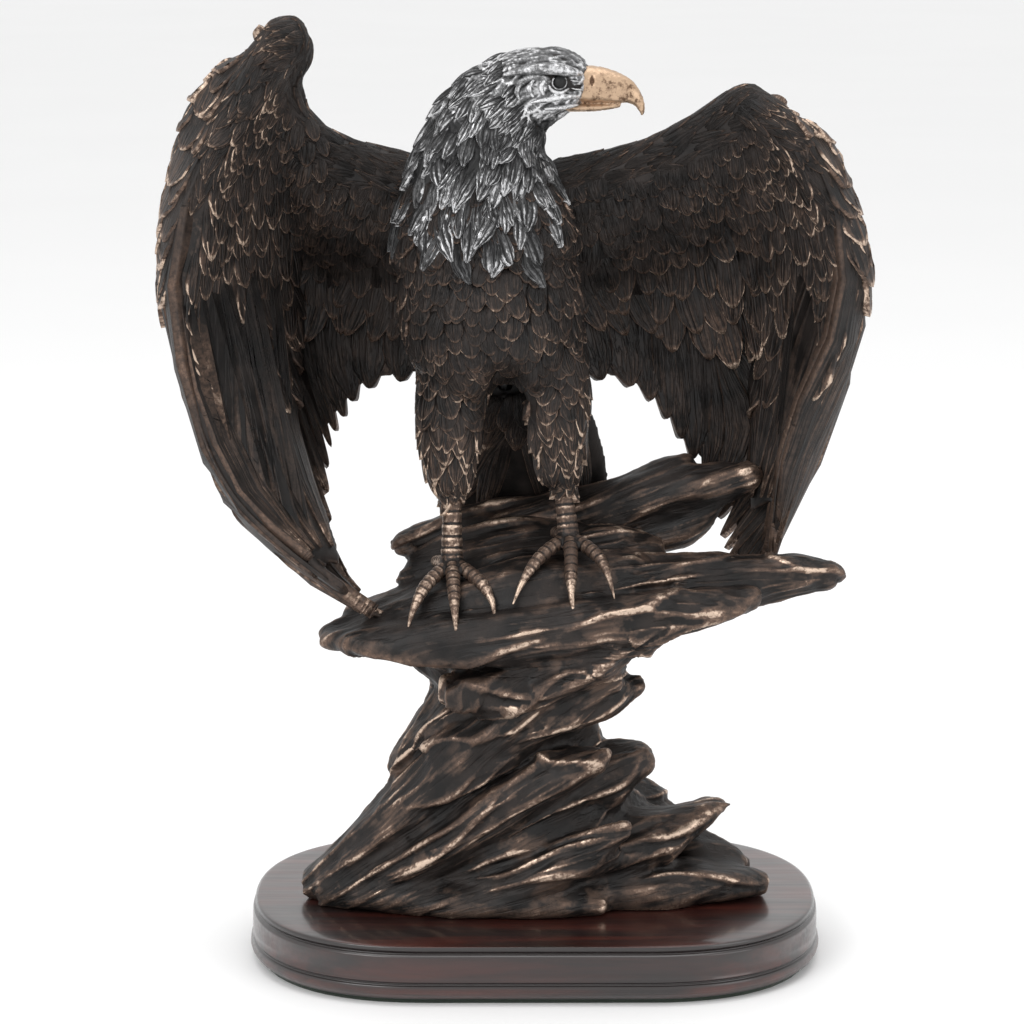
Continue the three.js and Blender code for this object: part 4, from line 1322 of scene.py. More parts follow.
def combed(co, axis):
    """Places along and round an axis, for streaks that run with it."""
    path = spline(np.array(axis) * MM, np.linspace(-0.1, 1.2, 90))
    gone = np.concatenate([[0], np.cumsum(np.linalg.norm(np.diff(path, axis=0), axis=1))])
    nearest = np.argmin(((co[:, None, :] - path[None, :, :]) ** 2).sum(2), axis=1)
    ahead = unit(np.gradient(path, axis=0))[nearest]
    offset = co - path[nearest]
    offset -= ahead * (offset * ahead).sum(1)[:, None]
    return gone[nearest] + ((co - path[nearest]) * ahead).sum(1), offset


def build_head(tree):
    """The silver skull with combed wrinkles, and the layered hackles of the neck."""
    bm = bmesh.new()
    skin = body_skin()
    bm.from_mesh(skin)
    bmesh.ops.bisect_plane(
        bm,
        geom=bm.verts[:] + bm.edges[:] + bm.faces[:],
        plane_co=Vector((-18, 0, 292)) * MM,
        plane_no=Vector((-0.25, 0, 1)).normalized(),
        clear_inner=True,
    )
    bmesh.ops.holes_fill(bm, edges=[e for e in bm.edges if e.is_boundary])
    bmesh.ops.triangulate(bm, faces=bm.faces[:])
    bmesh.ops.subdivide_edges(bm, edges=bm.edges[:], cuts=1, smooth=0.6)
    mesh = to_mesh(bm)
    bpy.data.meshes.remove(skin)
    co, n = points_of(mesh), normals_of(mesh)
    gone, offset = combed(co, NECK_AXIS)
    place = offset * 270
    place[:, 0] += gone * 38
    waves = 1 - 2.6 * np.abs(rows_of_noise(place, 1, 2))
    fine = 1 - 2.6 * np.abs(rows_of_noise(place * 2.3, 1, 2))
    socket = np.exp(-(((co - np.array(EYE) * MM) / (3.6 * MM)) ** 2).sum(1) ** 1.3)
    lores = np.exp(-(((co - np.array((14.5, -10, 329.5)) * MM) / (3.4 * MM)) ** 2).sum(1))
    relief = 0.6 * np.clip(waves, -0.8, 1) + 0.2 * np.clip(fine, -0.8, 1) - 1.6 * socket - 0.7 * lores
    set_points(mesh, co + n * ((0.2 + relief) * MM)[:, None])
    bright = np.clip(0.42 + 0.85 * crest(mesh, 6) - 0.9 * socket, -1, 1)
    crown = np.clip((co[:, 2] - 0.312) / 0.008, 0, 1)
    set_attribute(mesh, "crest", np.where(crown > 0, bright * crown - (1 - crown), -1) - 0.5 * lores)
    skinned(mesh, "head_silver", material("silver casting"), ["head_casting"])
    rng = random.Random(SEED + 40)
    width = sizes().hackle_width
    feathers = []
    rows = 13
    for row in range(rows):
        f = row / (rows - 1)
        place = 0.16 + 0.56 * f
        ring = [around(tree, NECK_AXIS, place, k * math.pi / 8)[0] for k in range(16)]
        ring = [p for p in ring if p is not None]
        girth = sum((ring[k] - ring[k - 1]).length for k in range(len(ring)))
        wide = width * (1.16 - 0.5 * f)
        count = max(8, int(girth / (wide * (1.12 - 0.25 * f))))
        for k in range(count):
            angle = 2 * math.pi * (k + 0.5 * (row % 2)) / count + rng.uniform(-0.09, 0.09)
            hit, normal, ahead = around(tree, NECK_AXIS, place + rng.uniform(-0.02, 0.02), angle)
            if hit is None or hit.x > 0.004:
                continue
            size = width * (3.6 - 1.9 * f) * rng.uniform(0.75, 1.2)
            spare = hit.z - 0.85 * size - silver_line(hit.x)
            if spare < -0.012 or (spare < 0 and rng.random() < 0.55):
                continue
            way = Vector(-ahead)
            way.rotate(Matrix.Rotation(rng.uniform(-0.3, 0.3), 3, normal))
            feathers.append(
                Feather(
                    spine_along(tree, hit, way, size, rng.uniform(-0.5, 0.5)),
                    tapering(wide * rng.uniform(0.8, 1.15)),
                    (2.6 - 1.7 * f) * rng.uniform(0.5, 1.3) * MM,
                    (0.7 - 0.3 * f) * MM,
                    rng.uniform(-0.7, 0.7) * MM,
                    rng.uniform(0.95, 1.35) if spare > 0 else rng.uniform(0.3, 0.7),
                )
            )
    skinned(lay(tree, feathers, "hackle"), "neck_hackles", material("silver feathers"))


def build_tail():
    """Tail feathers fanned down over the rock, in a front and a back layer."""
    low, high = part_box("tail_casting")
    rng = random.Random(SEED + 50)
    core = remeshed(cad_copy("tail_casting"), 0.001, 6)
    tree = tree_of(core)
    set_attribute(core, "crest", np.zeros(len(core.vertices)))
    skinned(core, "tail_casting_skin", material("bronze casting"), ["tail_casting"])
    feathers = []
    middle_x = (low.x + high.x) / 2
    middle_y = (low.y + high.y) / 2
    for face in (-1, 1):
        for row, (count, drop, length, width) in enumerate(
            ((9, 0.003, 1.0, 5.4), (8, 0.002, 0.45, 5.0), (7, 0.001, 0.26, 4.4))
        ):
            for k in range(count):
                spread = (k - (count - 1) / 2) / ((count - 1) / 2)
                root = Vector((middle_x + spread * 0.016, middle_y + face * 0.03, high.z - drop))
                heading = Vector((spread * 0.3, 0.3, -1))
                reach = (high.z - low.z) * length * (1 - 0.035 * spread**2) * rng.uniform(0.96, 1.0)
                feathers.append(
                    Feather(
                        spine_along(tree, root, heading, reach, 0),
                        np.linspace(0.86, 1.05, SPINE_STEPS + 1) * width * MM,
                        (0.6 + 0.5 * row) * MM,
                        (0.4 + 0.35 * row) * MM,
                        0.7 * MM,
                        rng.uniform(0.7, 1.1),
                    )
                )
    skinned(lay(tree, feathers, "quill"), "tail_feathers", material("bronze quills"))


# ---------------------------------------------------------------------------------------------
# Beak and face
# ---------------------------------------------------------------------------------------------

UPPER_BEAK = (
    (14, -1, 331, 6, 6),
    (18, -1.5, 331.2, 6, 6.2),
    (23, -2.1, 330.8, 5.9, 5.7),
    (28, -2.7, 329.8, 5.3, 4.8),
    (33, -3.2, 327.9, 4.4, 3.7),
    (36.9, -3.7, 324.9, 2.5, 2.5),
    (38.6, -4, 321.6, 1.3, 1.4),
    (38.9, -4, 319.2, 0.5, 0.5),
)
BEAK_LIPS = (
    (13, -1, 327.2, 3.4, 5.6),
    (20, -1.9, 327, 3.4, 5.3),
    (26, -2.5, 326.6, 3.1, 4.6),
    (31, -3, 326.2, 2.7, 3.5),
    (34, -3.4, 326.0, 2.1, 2.5),
    (37, -3.7, 326.0, 0.7, 1.0),
)
LOWER_BEAK = (
    (6, -1, 322.2, 1.8, 4.8),
    (16, -1.8, 321.9, 1.6, 4.2),
    (24, -2.5, 322.1, 1.4, 3.2),
    (31, -3, 322.8, 0.8, 1.8),
)
NOSTRIL = (20.4, -7.6, 332)
EYE = (8.5, -11.2, 331.9)
EYE_RADIUS = 2.6
# Folds of the viewer's side of the face, each mirrored to the far side.
FOLDS = {
    "brow": (
        (-12, -10.5, 334.2, 0.6, 1.0),
        (-6, -12, 335.8, 1.5, 1.8),
        (1, -12.8, 336.8, 2.1, 2.4),
        (7.5, -12.8, 336.7, 2.3, 2.6),
        (12.6, -11.2, 335.6, 1.9, 2.3),
        (16.5, -8.4, 334.6, 1.0, 1.4),
    ),
    "upper gape": (
        (-2, -13.2, 324.6, 0.5, 0.8),
        (4, -13.2, 325.6, 1.1, 1.2),
        (9, -11.6, 326.4, 1.2, 1.3),
        (13, -9, 326.4, 1.0, 1.2),
        (16, -6.8, 326.2, 0.5, 0.8),
    ),
    "lower gape": (
        (3, -12.2, 322.2, 0.5, 0.8),
        (8, -11, 322.4, 0.9, 1.1),
        (12, -8.8, 322.8, 0.9, 1.0),
        (15.5, -6.4, 323.2, 0.4, 0.8),
    ),
    "lower lid": (
        (4.4, -12.6, 331.4, 0.4, 0.6),
        (6.0, -12.8, 328.8, 0.7, 0.9),
        (9.2, -12, 328.2, 0.7, 0.9),
        (12, -10.6, 329.6, 0.4, 0.6),
    ),
    "cheek front": (
        (3.2, -13.4, 333.0, 0.5, 0.7), (1.8, -14.1, 330.2, 1.0, 1.0), (2.8, -14, 327.4, 0.5, 0.7),
    ),
    "cheek middle": (
        (-0.8, -13.5, 333.0, 0.5, 0.7), (-2.6, -14.4, 329.6, 1.1, 1.0),
        (-1, -14.4, 326.6, 0.5, 0.7),
    ),
    "cheek back": ((-5, -13.4, 332.4, 0.5, 0.7), (-7, -14.5, 328.8, 1.0, 1.0), (-6, -14.6, 325.6, 0.5, 0.7)),
    "upper bristle": (
        (12.4, -10.7, 332.4, 0.25, 0.4), (14.6, -9.6, 332, 0.4, 0.5), (17, -8.2, 331.8, 0.2, 0.4),
    ),
    "lower bristle": (
        (12.6, -10.4, 329.6, 0.25, 0.4), (15, -9.2, 329, 0.4, 0.5), (17.4, -8, 328.6, 0.2, 0.4),
    ),
}
MIDDLE_OF_HEAD = -1.0


def mirrored(stations):
    """The same stations on the far side of the head."""
    return [(x, 2 * MIDDLE_OF_HEAD - y, z, a, b) for x, y, z, a, b in stations]


def build_beak():
    bm = bmesh.new()
    loft(bm, UPPER_BEAK, 60, 36)
    loft(bm, BEAK_LIPS, 40, 30)
    loft(bm, LOWER_BEAK, 30, 24)
    mesh = remeshed(bm, 0.0004, 3)
    co, n = points_of(mesh), normals_of(mesh)
    reach = np.array((0.8, 2.4, 1.9)) * MM
    nostril = np.exp(-(((co - np.array(NOSTRIL) * MM) / reach) ** 2).sum(1))
    cere = np.exp(-(((co[:, 0] - 22.8 * MM + 0.15 * (co[:, 2] - 0.331)) / (0.6 * MM)) ** 2))
    pits = rows_of_noise(co, 1100, 3) * 0.16 * MM
    co -= n * (nostril * 1.3 * MM + cere * 0.13 * MM + pits)[:, None]
    set_points(mesh, co)
    set_attribute(mesh, "crest", 0.6 * crest(mesh, 4) - nostril)
    skinned(mesh, "beak_gilt", material("gilt"), ["beak"])


def build_face():
    """Brows, lids, cheeks and gape, the same on both sides of the head, and the eyes."""
    bm = bmesh.new()
    for stations in FOLDS.values():
        loft(bm, stations, 26, 12)
        loft(bm, mirrored(stations), 26, 12)
    mesh = remeshed(bm, 0.0004, 2)
    co, n = points_of(mesh), normals_of(mesh)
    set_points(mesh, co + n * (0.16 * MM * rows_of_noise(co * np.array((0.4, 1, 1)), 900, 2))[:, None])
    set_attribute(mesh, "crest", np.clip(0.6 + 0.5 * crest(mesh, 4), -1, 1))
    skinned(mesh, "brows_and_gape", material("silver casting"))
    eyes, rims = bmesh.new(), bmesh.new()
    ring = [
        (EYE[0] + 2.6 * math.cos(a), EYE[1] - 1.4 + 0.9 * math.cos(a), EYE[2] + 2.5 * math.sin(a), 0.28, 0.35)
        for a in np.linspace(math.radians(140), math.radians(400), 15)
    ]
    for stations, y in ((ring, EYE[1]), (mirrored(ring), 2 * MIDDLE_OF_HEAD - EYE[1])):
        loft(rims, stations, 44, 8)
        spot = Matrix.Translation(Vector((EYE[0], y, EYE[2])) * MM)
        bmesh.ops.create_uvsphere(eyes, u_segments=28, v_segments=18, radius=EYE_RADIUS * MM, matrix=spot)
    for bm, name, proud in ((eyes, "eyes", -0.3), (rims, "eye_rims", 0.5)):
        bmesh.ops.recalc_face_normals(bm, faces=bm.faces[:])
        mesh = to_mesh(bm)
        set_attribute(mesh, "crest", np.full(len(mesh.vertices), proud))
        skinned(mesh, name, material("silver casting"))


# ---------------------------------------------------------------------------------------------
# Legs and feet
# ---------------------------------------------------------------------------------------------

FEET = {
    "left": {
        "shank": ((-31, -12.5, 187, 4.2), (-31, -15.5, 172, 4), (-31, -18.5, 158, 4.6), (-31, -20, 154, 4.8)),
        "toes": (
            ((-32, -20, 154), (-37, -26, 151.5), (-41.5, -32, 147.5), (-45, -38, 141), (-47, -41, 134.5)),
            ((-31, -20, 155), (-30.5, -28, 152), (-30, -36, 146.5), (-29.5, -43, 140.5), (-29, -46, 132.5)),
            ((-30, -20, 154), (-25, -26, 153), (-20, -32, 150), (-16, -38, 144.5), (-15, -41, 137.5)),
            ((-32, -19, 155), (-34, -15, 154), (-36.5, -9, 153), (-38, -4, 152), (-39, -1, 150)),
        ),
    },
    "right": {
        "shank": (
            (9.7, -10.5, 190, 4.1), (10.8, -13, 178, 3.9), (12, -15.5, 167, 4.4),
            (12.3, -17, 163, 4.6),
        ),
        "toes": (
            ((12, -17, 163), (6, -23, 161.5), (0, -30, 157.5), (-5, -36, 151), (-8.5, -39.5, 143.5)),
            ((12.5, -17, 164), (13, -26, 160.5), (13, -35, 154), (13, -41, 148), (14, -45, 140)),
            ((13, -17, 163), (18.5, -23, 162), (23.5, -30, 159), (26.5, -36, 154), (29, -39.5, 145.5)),
            ((12, -16, 164), (10, -12, 164), (8, -6, 163.5), (7, -1, 162), (6.5, 2, 160)),
        ),
    },
}
TOE_RADII = (2.8, 2.5, 2.2, 1.25, 0.35)
CLAW_START = 0.68
CLAW_LENGTH = 9.5


def build_foot(side):
    """Scaled shank and toes. Each scute is a raised ring, and the claws are smooth."""
    plan = FEET[side]
    bm = bmesh.new()
    shank = [(x, y, z, 0.86 * r, 0.86 * r) for x, y, z, r in plan["shank"]]

    def scutes(count, depth, stop=1.0):
        def section(t, angles):
            if t > stop:
                return np.ones(len(angles))
            saw = (t * count) % 1.0
            bulge = min(1, 2.4 * math.sin(math.pi * saw)) * (1 - 0.4 * saw)
            return np.full(len(angles), 1 + depth * (bulge - 0.5))

        return section

    loft(bm, shank, 130, 24, scutes(10, 0.2))
    for points in plan["toes"]:
        stations = [(*p, r, r) for p, r in zip(points, TOE_RADII)]
        loft(bm, stations, 110, 18, scutes(12, 0.24, CLAW_START), reference=(1, 0, 0))
    mesh = remeshed(bm, 0.00045, 1)
    co = points_of(mesh)
    proud = 1.25 * crest(mesh, 5) + 0.12
    for points in plan["toes"]:
        near = np.linalg.norm(co - np.array(points[-1]) * MM, axis=1) / (CLAW_LENGTH * MM)
        proud += 0.85 * np.clip(1.4 - 1.4 * near, 0, 1)
    set_attribute(mesh, "crest", np.clip(proud, -1, 1))
    skinned(mesh, f"foot_{side}_scaled", material("bronze casting"), [f"foot_{side}"])


# ---------------------------------------------------------------------------------------------
# Driftwood
# ---------------------------------------------------------------------------------------------

STUMP_CORE = (
    (-2, -1, 22.4, 84, 33),
    (-5, 0, 30, 72, 33),
    (-8, 0, 47, 53, 31),
    (-9, 0, 64, 43, 29),
    (-9, 0, 80, 36, 27),
    (-6, 0, 97, 32, 27),
    (-6, -2, 110, 34, 29),
    (-8, -2, 122, 40, 30),
)
STUMP_LIMBS = (
    (
        (-86, -5, 25, 6, 9), (-69, -12, 37, 10, 14), (-41, -18, 65, 12, 15),
        (-13, -22, 92, 12, 15), (16, -26, 110, 11, 14), (32, -28, 117, 6, 9),
    ),
    (
        (-78, -12, 26, 5, 8), (-51, -21, 38, 9, 12), (-21, -26, 58, 10, 12), (9, -28, 76, 8, 10),
        (25, -30, 83, 5, 6),
    ),
    (
        (-34, -20, 24, 6, 12), (-8, -27, 33, 9, 12), (15, -31, 44, 8, 9), (28, -33, 52, 5, 5),
        (33, -33, 54, 3.6, 4),
    ),
    (
        (4, -10, 34, 14, 20), (38, -10, 43, 12, 16), (58, -10, 52, 7, 10), (70, -10, 57.5, 2.6, 4),
        (76, -10, 59.5, 0.8, 1),
    ),
    (
        (4, -6, 60, 16, 18), (24, -10, 69, 13, 14), (35, -12, 75.5, 9, 10), (41, -12, 77, 7, 8),
        (44, -12, 77, 4, 5),
    ),
    ((18, -14, 27, 7, 17), (50, -12, 28, 8, 17), (76, -9, 28, 6.5, 12), (89, -7, 26, 4, 6)),
    (
        (-38, -14, 84, 8, 12), (-6, -22, 96, 11, 13), (22, -23, 103, 8, 9), (33, -22, 107, 5.5, 6),
        (38, -21, 108, 4, 4),
    ),
    ((-56, -8, 71, 1.6, 2), (-46, -8, 80, 6, 8), (-31, -10, 99, 8, 10)),
    (
        (-80, -9, 27, 9, 15), (-60, -14, 29, 9, 19), (-30, -22, 27, 8, 17), (0, -24, 27, 8, 16),
        (26, -22, 26, 7, 14),
    ),
    # the far side
    (
        (80, 6, 26, 6, 9), (58, 16, 36, 9, 12), (26, 20, 62, 11, 12), (0, 22, 90, 11, 12),
        (-24, 20, 112, 9, 10),
    ),
    ((40, 22, 25, 6, 8), (16, 26, 44, 9, 9), (-12, 26, 66, 10, 9), (-32, 19, 86, 8, 8)),
    ((-60, 12, 25, 7, 12), (-48, 18, 46, 9, 11), (-38, 18, 70, 8, 10), (-34, 14, 94, 6, 8)),
)
PERCH_LIMBS = (
    (
        (-80, -18, 126, 2.5, 4), (-60, -12, 130, 8, 16), (-35, -14, 135, 13, 22),
        (0, -14, 141, 16, 24), (30, -12, 142, 15, 20), (60, -12, 144, 12, 14),
        (86, -13, 147.5, 9, 10), (102, -13, 149, 8, 8.5), (109, -13, 149, 6.5, 6.5),
    ),
    (
        (-79, -20, 126, 3, 5), (-60, -30, 128, 6, 12), (-30, -35, 130, 9.5, 13),
        (0, -36, 132, 11, 13), (20, -36, 135, 11, 13), (45, -34, 138, 9, 12), (66, -31, 141, 7, 9),
        (78, -29, 143, 5, 5.5),
    ),
    (
        (-48, -12, 122, 6, 12), (-25, -12, 122, 11, 20), (0, -12, 123, 14, 22),
        (26, -14, 127, 13, 18), (46, -14, 134, 8, 13),
    ),
    (
        (-50, 2, 140, 5, 6), (-34, 4, 148, 11, 12), (-8, 6, 151, 14, 13), (22, 5, 152, 12, 12),
        (48, 2, 152, 7, 8),
    ),
    (
        (-34, -33, 108, 6, 8), (-14, -35, 110, 8, 9), (5, -35, 113, 9, 9), (22, -36, 121, 8, 9),
        (36, -36, 130, 7, 8), (50, -35, 136, 5, 6),
    ),
)
BRANCH_LIMBS = (
    (
        (-50, 10, 155, 4, 4), (-38, 14, 158, 7, 8), (-8, 20, 160, 11, 10), (22, 18, 165, 12, 11),
        (48, 13, 173, 11, 10), (68, 9, 178.5, 9, 8), (80, 7, 182.5, 6.5, 5.5),
    ),
    ((4, 22, 160, 8, 8), (25, 22, 166, 8, 8), (46, 18, 177, 8, 7), (61, 14, 185, 5.5, 5)),
    ((14, 16, 155, 5, 7), (36, 14, 158, 8, 8), (56, 11, 163, 8, 7), (69, 9, 171, 4, 5)),
)

# Lips of wood on the viewer's side: how wide and how high each is, then its course as x and z.
LIPS = (
    (8, 3.0, (6, 134), (25, 140), (41, 143), (62, 152)),
    (7, 2.6, (33, 129), (45, 132), (58, 136), (74, 141), (81, 146)),
    (6, 2.0, (42, 152), (66, 155), (87, 156), (107, 148)),
    (7, 2.4, (-78, 128), (-53, 125), (-28, 123), (-8, 130), (6, 134)),
    (8, 3.2, (31, 116), (13, 119), (-4, 107), (-22, 100), (-37, 92), (-55, 76)),
    (8, 3.2, (25, 83), (9, 82), (-8, 80), (-22, 74), (-35, 67), (-52, 63)),
    (6, 2.2, (-54, 66), (-50, 76), (-39, 86), (-22, 91), (0, 97)),
    (7, 2.6, (-12, 71), (-22, 60), (-39, 45), (-56, 35)),
    (7, 3.0, (31, 56), (21, 52), (9, 48), (-8, 39), (-29, 34)),
    (6, 2.6, (71, 59), (55, 51), (38, 48), (22, 43)),
    (5, 2.0, (38, 34), (59, 34), (88, 28)),
    (6, 2.2, (41, 83), (34, 71), (19, 65), (2, 60), (-16, 50)),
    (6, 2.2, (36, 108), (25, 101), (9, 96), (-12, 88)),
    (7, 2.4, (-39, 117), (-18, 112), (2, 110), (20, 118), (33, 128), (45, 136)),
)
# Knots at the ends of the limbs: place and radius.
KNOTS = (
    (25, -31, 84, 3.6),
    (33, -33, 54.5, 4.0),
    (38, -22, 108.5, 4.2),
    (108, -14, 149, 6.8),
    (79, -30, 144, 5.2),
    (-50, 9, 156, 4.6),
    (80, 6, 183, 6.0),
)
PERCH_JOINT = 0.117


def lipped(phase, fall=0.14):
    """Broad hollows that climb to a sharp lip and drop away."""
    f = phase - np.floor(phase)
    return np.minimum(np.clip(f / (1 - fall), 0, 1) ** 1.6, np.clip((1 - f) / fall, 0, 1))


def fan_from(co, centre, scale, shift=(0.0, 0.0)):
    """Along, across and through the flow of wood that fans out from centre, in metres."""
    x, z = co[:, 0] - centre[0], co[:, 2] - centre[1]
    along, across = np.hypot(x, z) + shift[0], np.arctan2(z, x) * scale + shift[1]
    return np.stack([along, across, co[:, 1]], 1)


def rising_flow(co):
    """Steep in the stump, and nearly level in the perch on top of it."""
    stump = fan_from(co, (-0.125, -0.004), 0.13)
    perch = fan_from(co, (-0.30, 0.09), 0.30, (-0.128, 0.075))
    share_of_perch = np.clip((co[:, 2] - 0.106) / 0.024, 0, 1)[:, None]
    return stump + (perch - stump) * share_of_perch


def level_flow(co):
    return fan_from(co, (-0.28, 0.06), 0.28)


def wood_relief(flow, grain):
    """Height of the lips, the ridges and the incised grain, in metres."""

    def stretched(a, b, c, shift):
        return flow * np.array((a, b, c)) + np.array((shift, 0, 0))

    warp = rows_of_noise(stretched(14, 38, 34, 3.1), 1, 2)
    fade = np.clip(0.5 + 1.1 * rows_of_noise(stretched(17, 52, 45, 8.7), 1, 2), 0, 1)
    lips = lipped((0.0055 * warp - flow[:, 1]) / 0.0125 - flow[:, 2] * 30)
    ridges = 1 - np.abs(rows_of_noise(stretched(15, 105, 80, 5.3), 1, 2)) * 3.2
    lines = 1 - np.abs(rows_of_noise(stretched(32, 330, 240, 1.9), 1, 2)) * 3.0
    height = 0.0032 * fade * (lips - 0.35) + 0.0007 * np.clip(ridges, -0.6, 1)
    return height + grain * np.clip(lines, -1, 1) * (0.45 + 0.55 * fade)


def lip_height(co, lines, tree):
    """Height of sharp lips whose courses are laid on the skin from the viewer's side. They rise
    slowly from above and drop away below."""
    places, facts = [], []
    for width, rise, *course in lines:
        course = np.array(course, float) * MM
        count = int(np.linalg.norm(np.diff(course, axis=0), axis=1).sum() / 0.0004)
        for k, (x, z) in enumerate(spline(course, np.linspace(0, 1, count))):
            hit = tree.ray_cast(Vector((x, -0.2, z)), Vector((0, 1, 0)))[0]
            if hit is not None:
                places.append(hit)
                facts.append((width * MM, rise * MM * min(1, 4 * k / count, 4 * (1 - k / count))))
    lookup = KDTree(len(places))
    for k, place in enumerate(places):
        lookup.insert(place, k)
    lookup.balance()
    height = np.zeros(len(co))
    for k, point in enumerate(co):
        place, index, distance = lookup.find(Vector(point))
        width, rise = facts[index]
        reach = width * (1.0 if point[2] > place.z else 0.38)
        if distance < reach:
            height[k] = rise * (1 - distance / reach) ** 1.4
    return height


def gentle_under_feet(co):
    """Less relief where the toes rest."""
    toes = [p for plan in FEET.values() for toe in plan["toes"] for p in toe]
    lookup = KDTree(len(toes))
    for k, point in enumerate(toes):
        lookup.insert(Vector(point) * MM, k)
    lookup.balance()
    near = np.array([lookup.find(Vector(p))[2] for p in co])
    return np.clip((near - 0.004) / 0.012, 0.15, 1)


def driftwood_skin(limbs, core, flow, lips, rng, floor=None):
    """Limbs melted into one skin, with lips, ridges and grain that run with the flow."""
    plan = wood_sizes()
    bm = bmesh.new()
    if core:
        loft(bm, core, 36, 48, fluted(7, plan.flute * 0.3, 1.6, 0.3))
    for stations in limbs:
        ridges = rng.choice((3, 4, 5))
        flutes = fluted(ridges, plan.flute * 0.45, rng.uniform(0.4, 1.0), rng.uniform(0, 6))
        loft(bm, stations, 50, 40, flutes)
    for x, y, z, radius in KNOTS:
        if any(abs(s[-1][0] - x) < 8 and abs(s[-1][2] - z) < 8 or abs(s[0][0] - x) < 4 for s in limbs):
            spot = Matrix.Translation(Vector((x, y, z)) * MM)
            bmesh.ops.create_icosphere(bm, subdivisions=3, radius=radius * MM, matrix=spot)
    mesh = remeshed(bm, plan.voxel * 2, 7, 1)
    co, n = points_of(mesh), normals_of(mesh)
    lower_mound = np.clip((co[:, 2] - 0.020) / 0.030, 0.3, 1)
    course = flow(co)
    height = wood_relief(course, plan.grain) * gentle_under_feet(co) * lower_mound
    if lips:
        height += lip_height(co, lips, tree_of(mesh))
    height += 0.0009 * rows_of_noise(co, 55, 2)
    co = co + n * height[:, None]
    if floor is not None:
        co[:, 2] = np.maximum(co[:, 2], floor)
    set_points(mesh, co)
    sharp = 0.6 * crest(mesh, 4) + 0.65 * crest(mesh, 24)
    set_attribute(mesh, "crest", np.clip(sharp, -1, 1))
    layer = mesh.attributes.new("course", "FLOAT_VECTOR", "POINT")
    layer.data.foreach_set("vector", np.ascontiguousarray(course, np.float32).ravel())
    return mesh


def half_of(mesh, height, upper):
    """The part of mesh above or below a level, closed again."""
    bm = bmesh.new()
    bm.from_mesh(mesh)
    everything = bm.verts[:] + bm.edges[:] + bm.faces[:]
    bmesh.ops.bisect_plane(
        bm,
        geom=everything,
        plane_co=(0, 0, height),
        plane_no=(0, 0, 1),
        clear_inner=upper,
        clear_outer=not upper,
    )
    bmesh.ops.holes_fill(bm, edges=[e for e in bm.edges if e.is_boundary])
    return to_mesh(bm)


def fluted(ridges, depth, twist, phase):
    """An outline whose ridges are parted by hollows, and turn as the limb goes on."""

    def section(t, angles):
        wave = np.abs(np.sin(ridges * (angles + twist * t + phase) / 2))
        return 1 + depth * (0.6 - wave)

    return section


def build_driftwood():
    rng = random.Random(SEED + 60)
    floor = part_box("stump_casting")[0].z

    base = driftwood_skin(STUMP_LIMBS + PERCH_LIMBS, STUMP_CORE, rising_flow, LIPS, rng, floor)
    finish = material("driftwood bronze")
    skinned(half_of(base, PERCH_JOINT, False), "stump_driftwood", finish, ["stump_casting"])
    skinned(half_of(base, PERCH_JOINT, True), "perch_driftwood", finish, ["perch_casting"])
    bpy.data.meshes.remove(base)
    branch = driftwood_skin(BRANCH_LIMBS, None, level_flow, None, rng)
    skinned(branch, "branch_driftwood", finish, ["branch_casting"])


# ---------------------------------------------------------------------------------------------
# Plinth and hardware
# ---------------------------------------------------------------------------------------------

# Inset from the plinth's outline and height, in millimetres, and how much painted shade darkens the stain
# there, from the
# top face down: most in the sunken coves and groove, least on the proud bead, which is a painted highlight.
PLINTH_PROFILE = (
    (4.2, 22.0, 0.0), (3.2, 21.9, 0.3), (2.4, 21.5, 1.0), (1.9, 20.8, 1.0), (1.9, 20.2, 1.0),
    (2.3, 19.9, 1.0), (2.4, 19.6, 1.0), (2.0, 19.3, 0.9), (1.4, 18.7, 0.7), (1.1, 17.8, 0.45),
    (1.0, 16.0, 0.35), (0.9, 12.5, 0.3), (0.9, 9.2, 0.4), (1.1, 8.6, 0.6), (1.8, 8.1, 1.0),
    (1.9, 7.7, 1.0), (1.3, 7.3, 1.0), (0.6, 6.8, 0.6), (0.2, 6.1, 0.3), (0.0, 5.2, 0.1),
    (0.2, 4.3, 0.1), (0.9, 3.3, 0.3), (1.8, 2.5, 0.6), (2.6, 1.9, 1.0),
)
PLINTH_SQUARENESS = 2.35
PLINTH_SIDES = 160


def fuller(v):
    """Pushes a sine or cosine outwards, for an end that is squarer than a circle."""
    return math.copysign(abs(v) ** (2 / PLINTH_SQUARENESS), v)


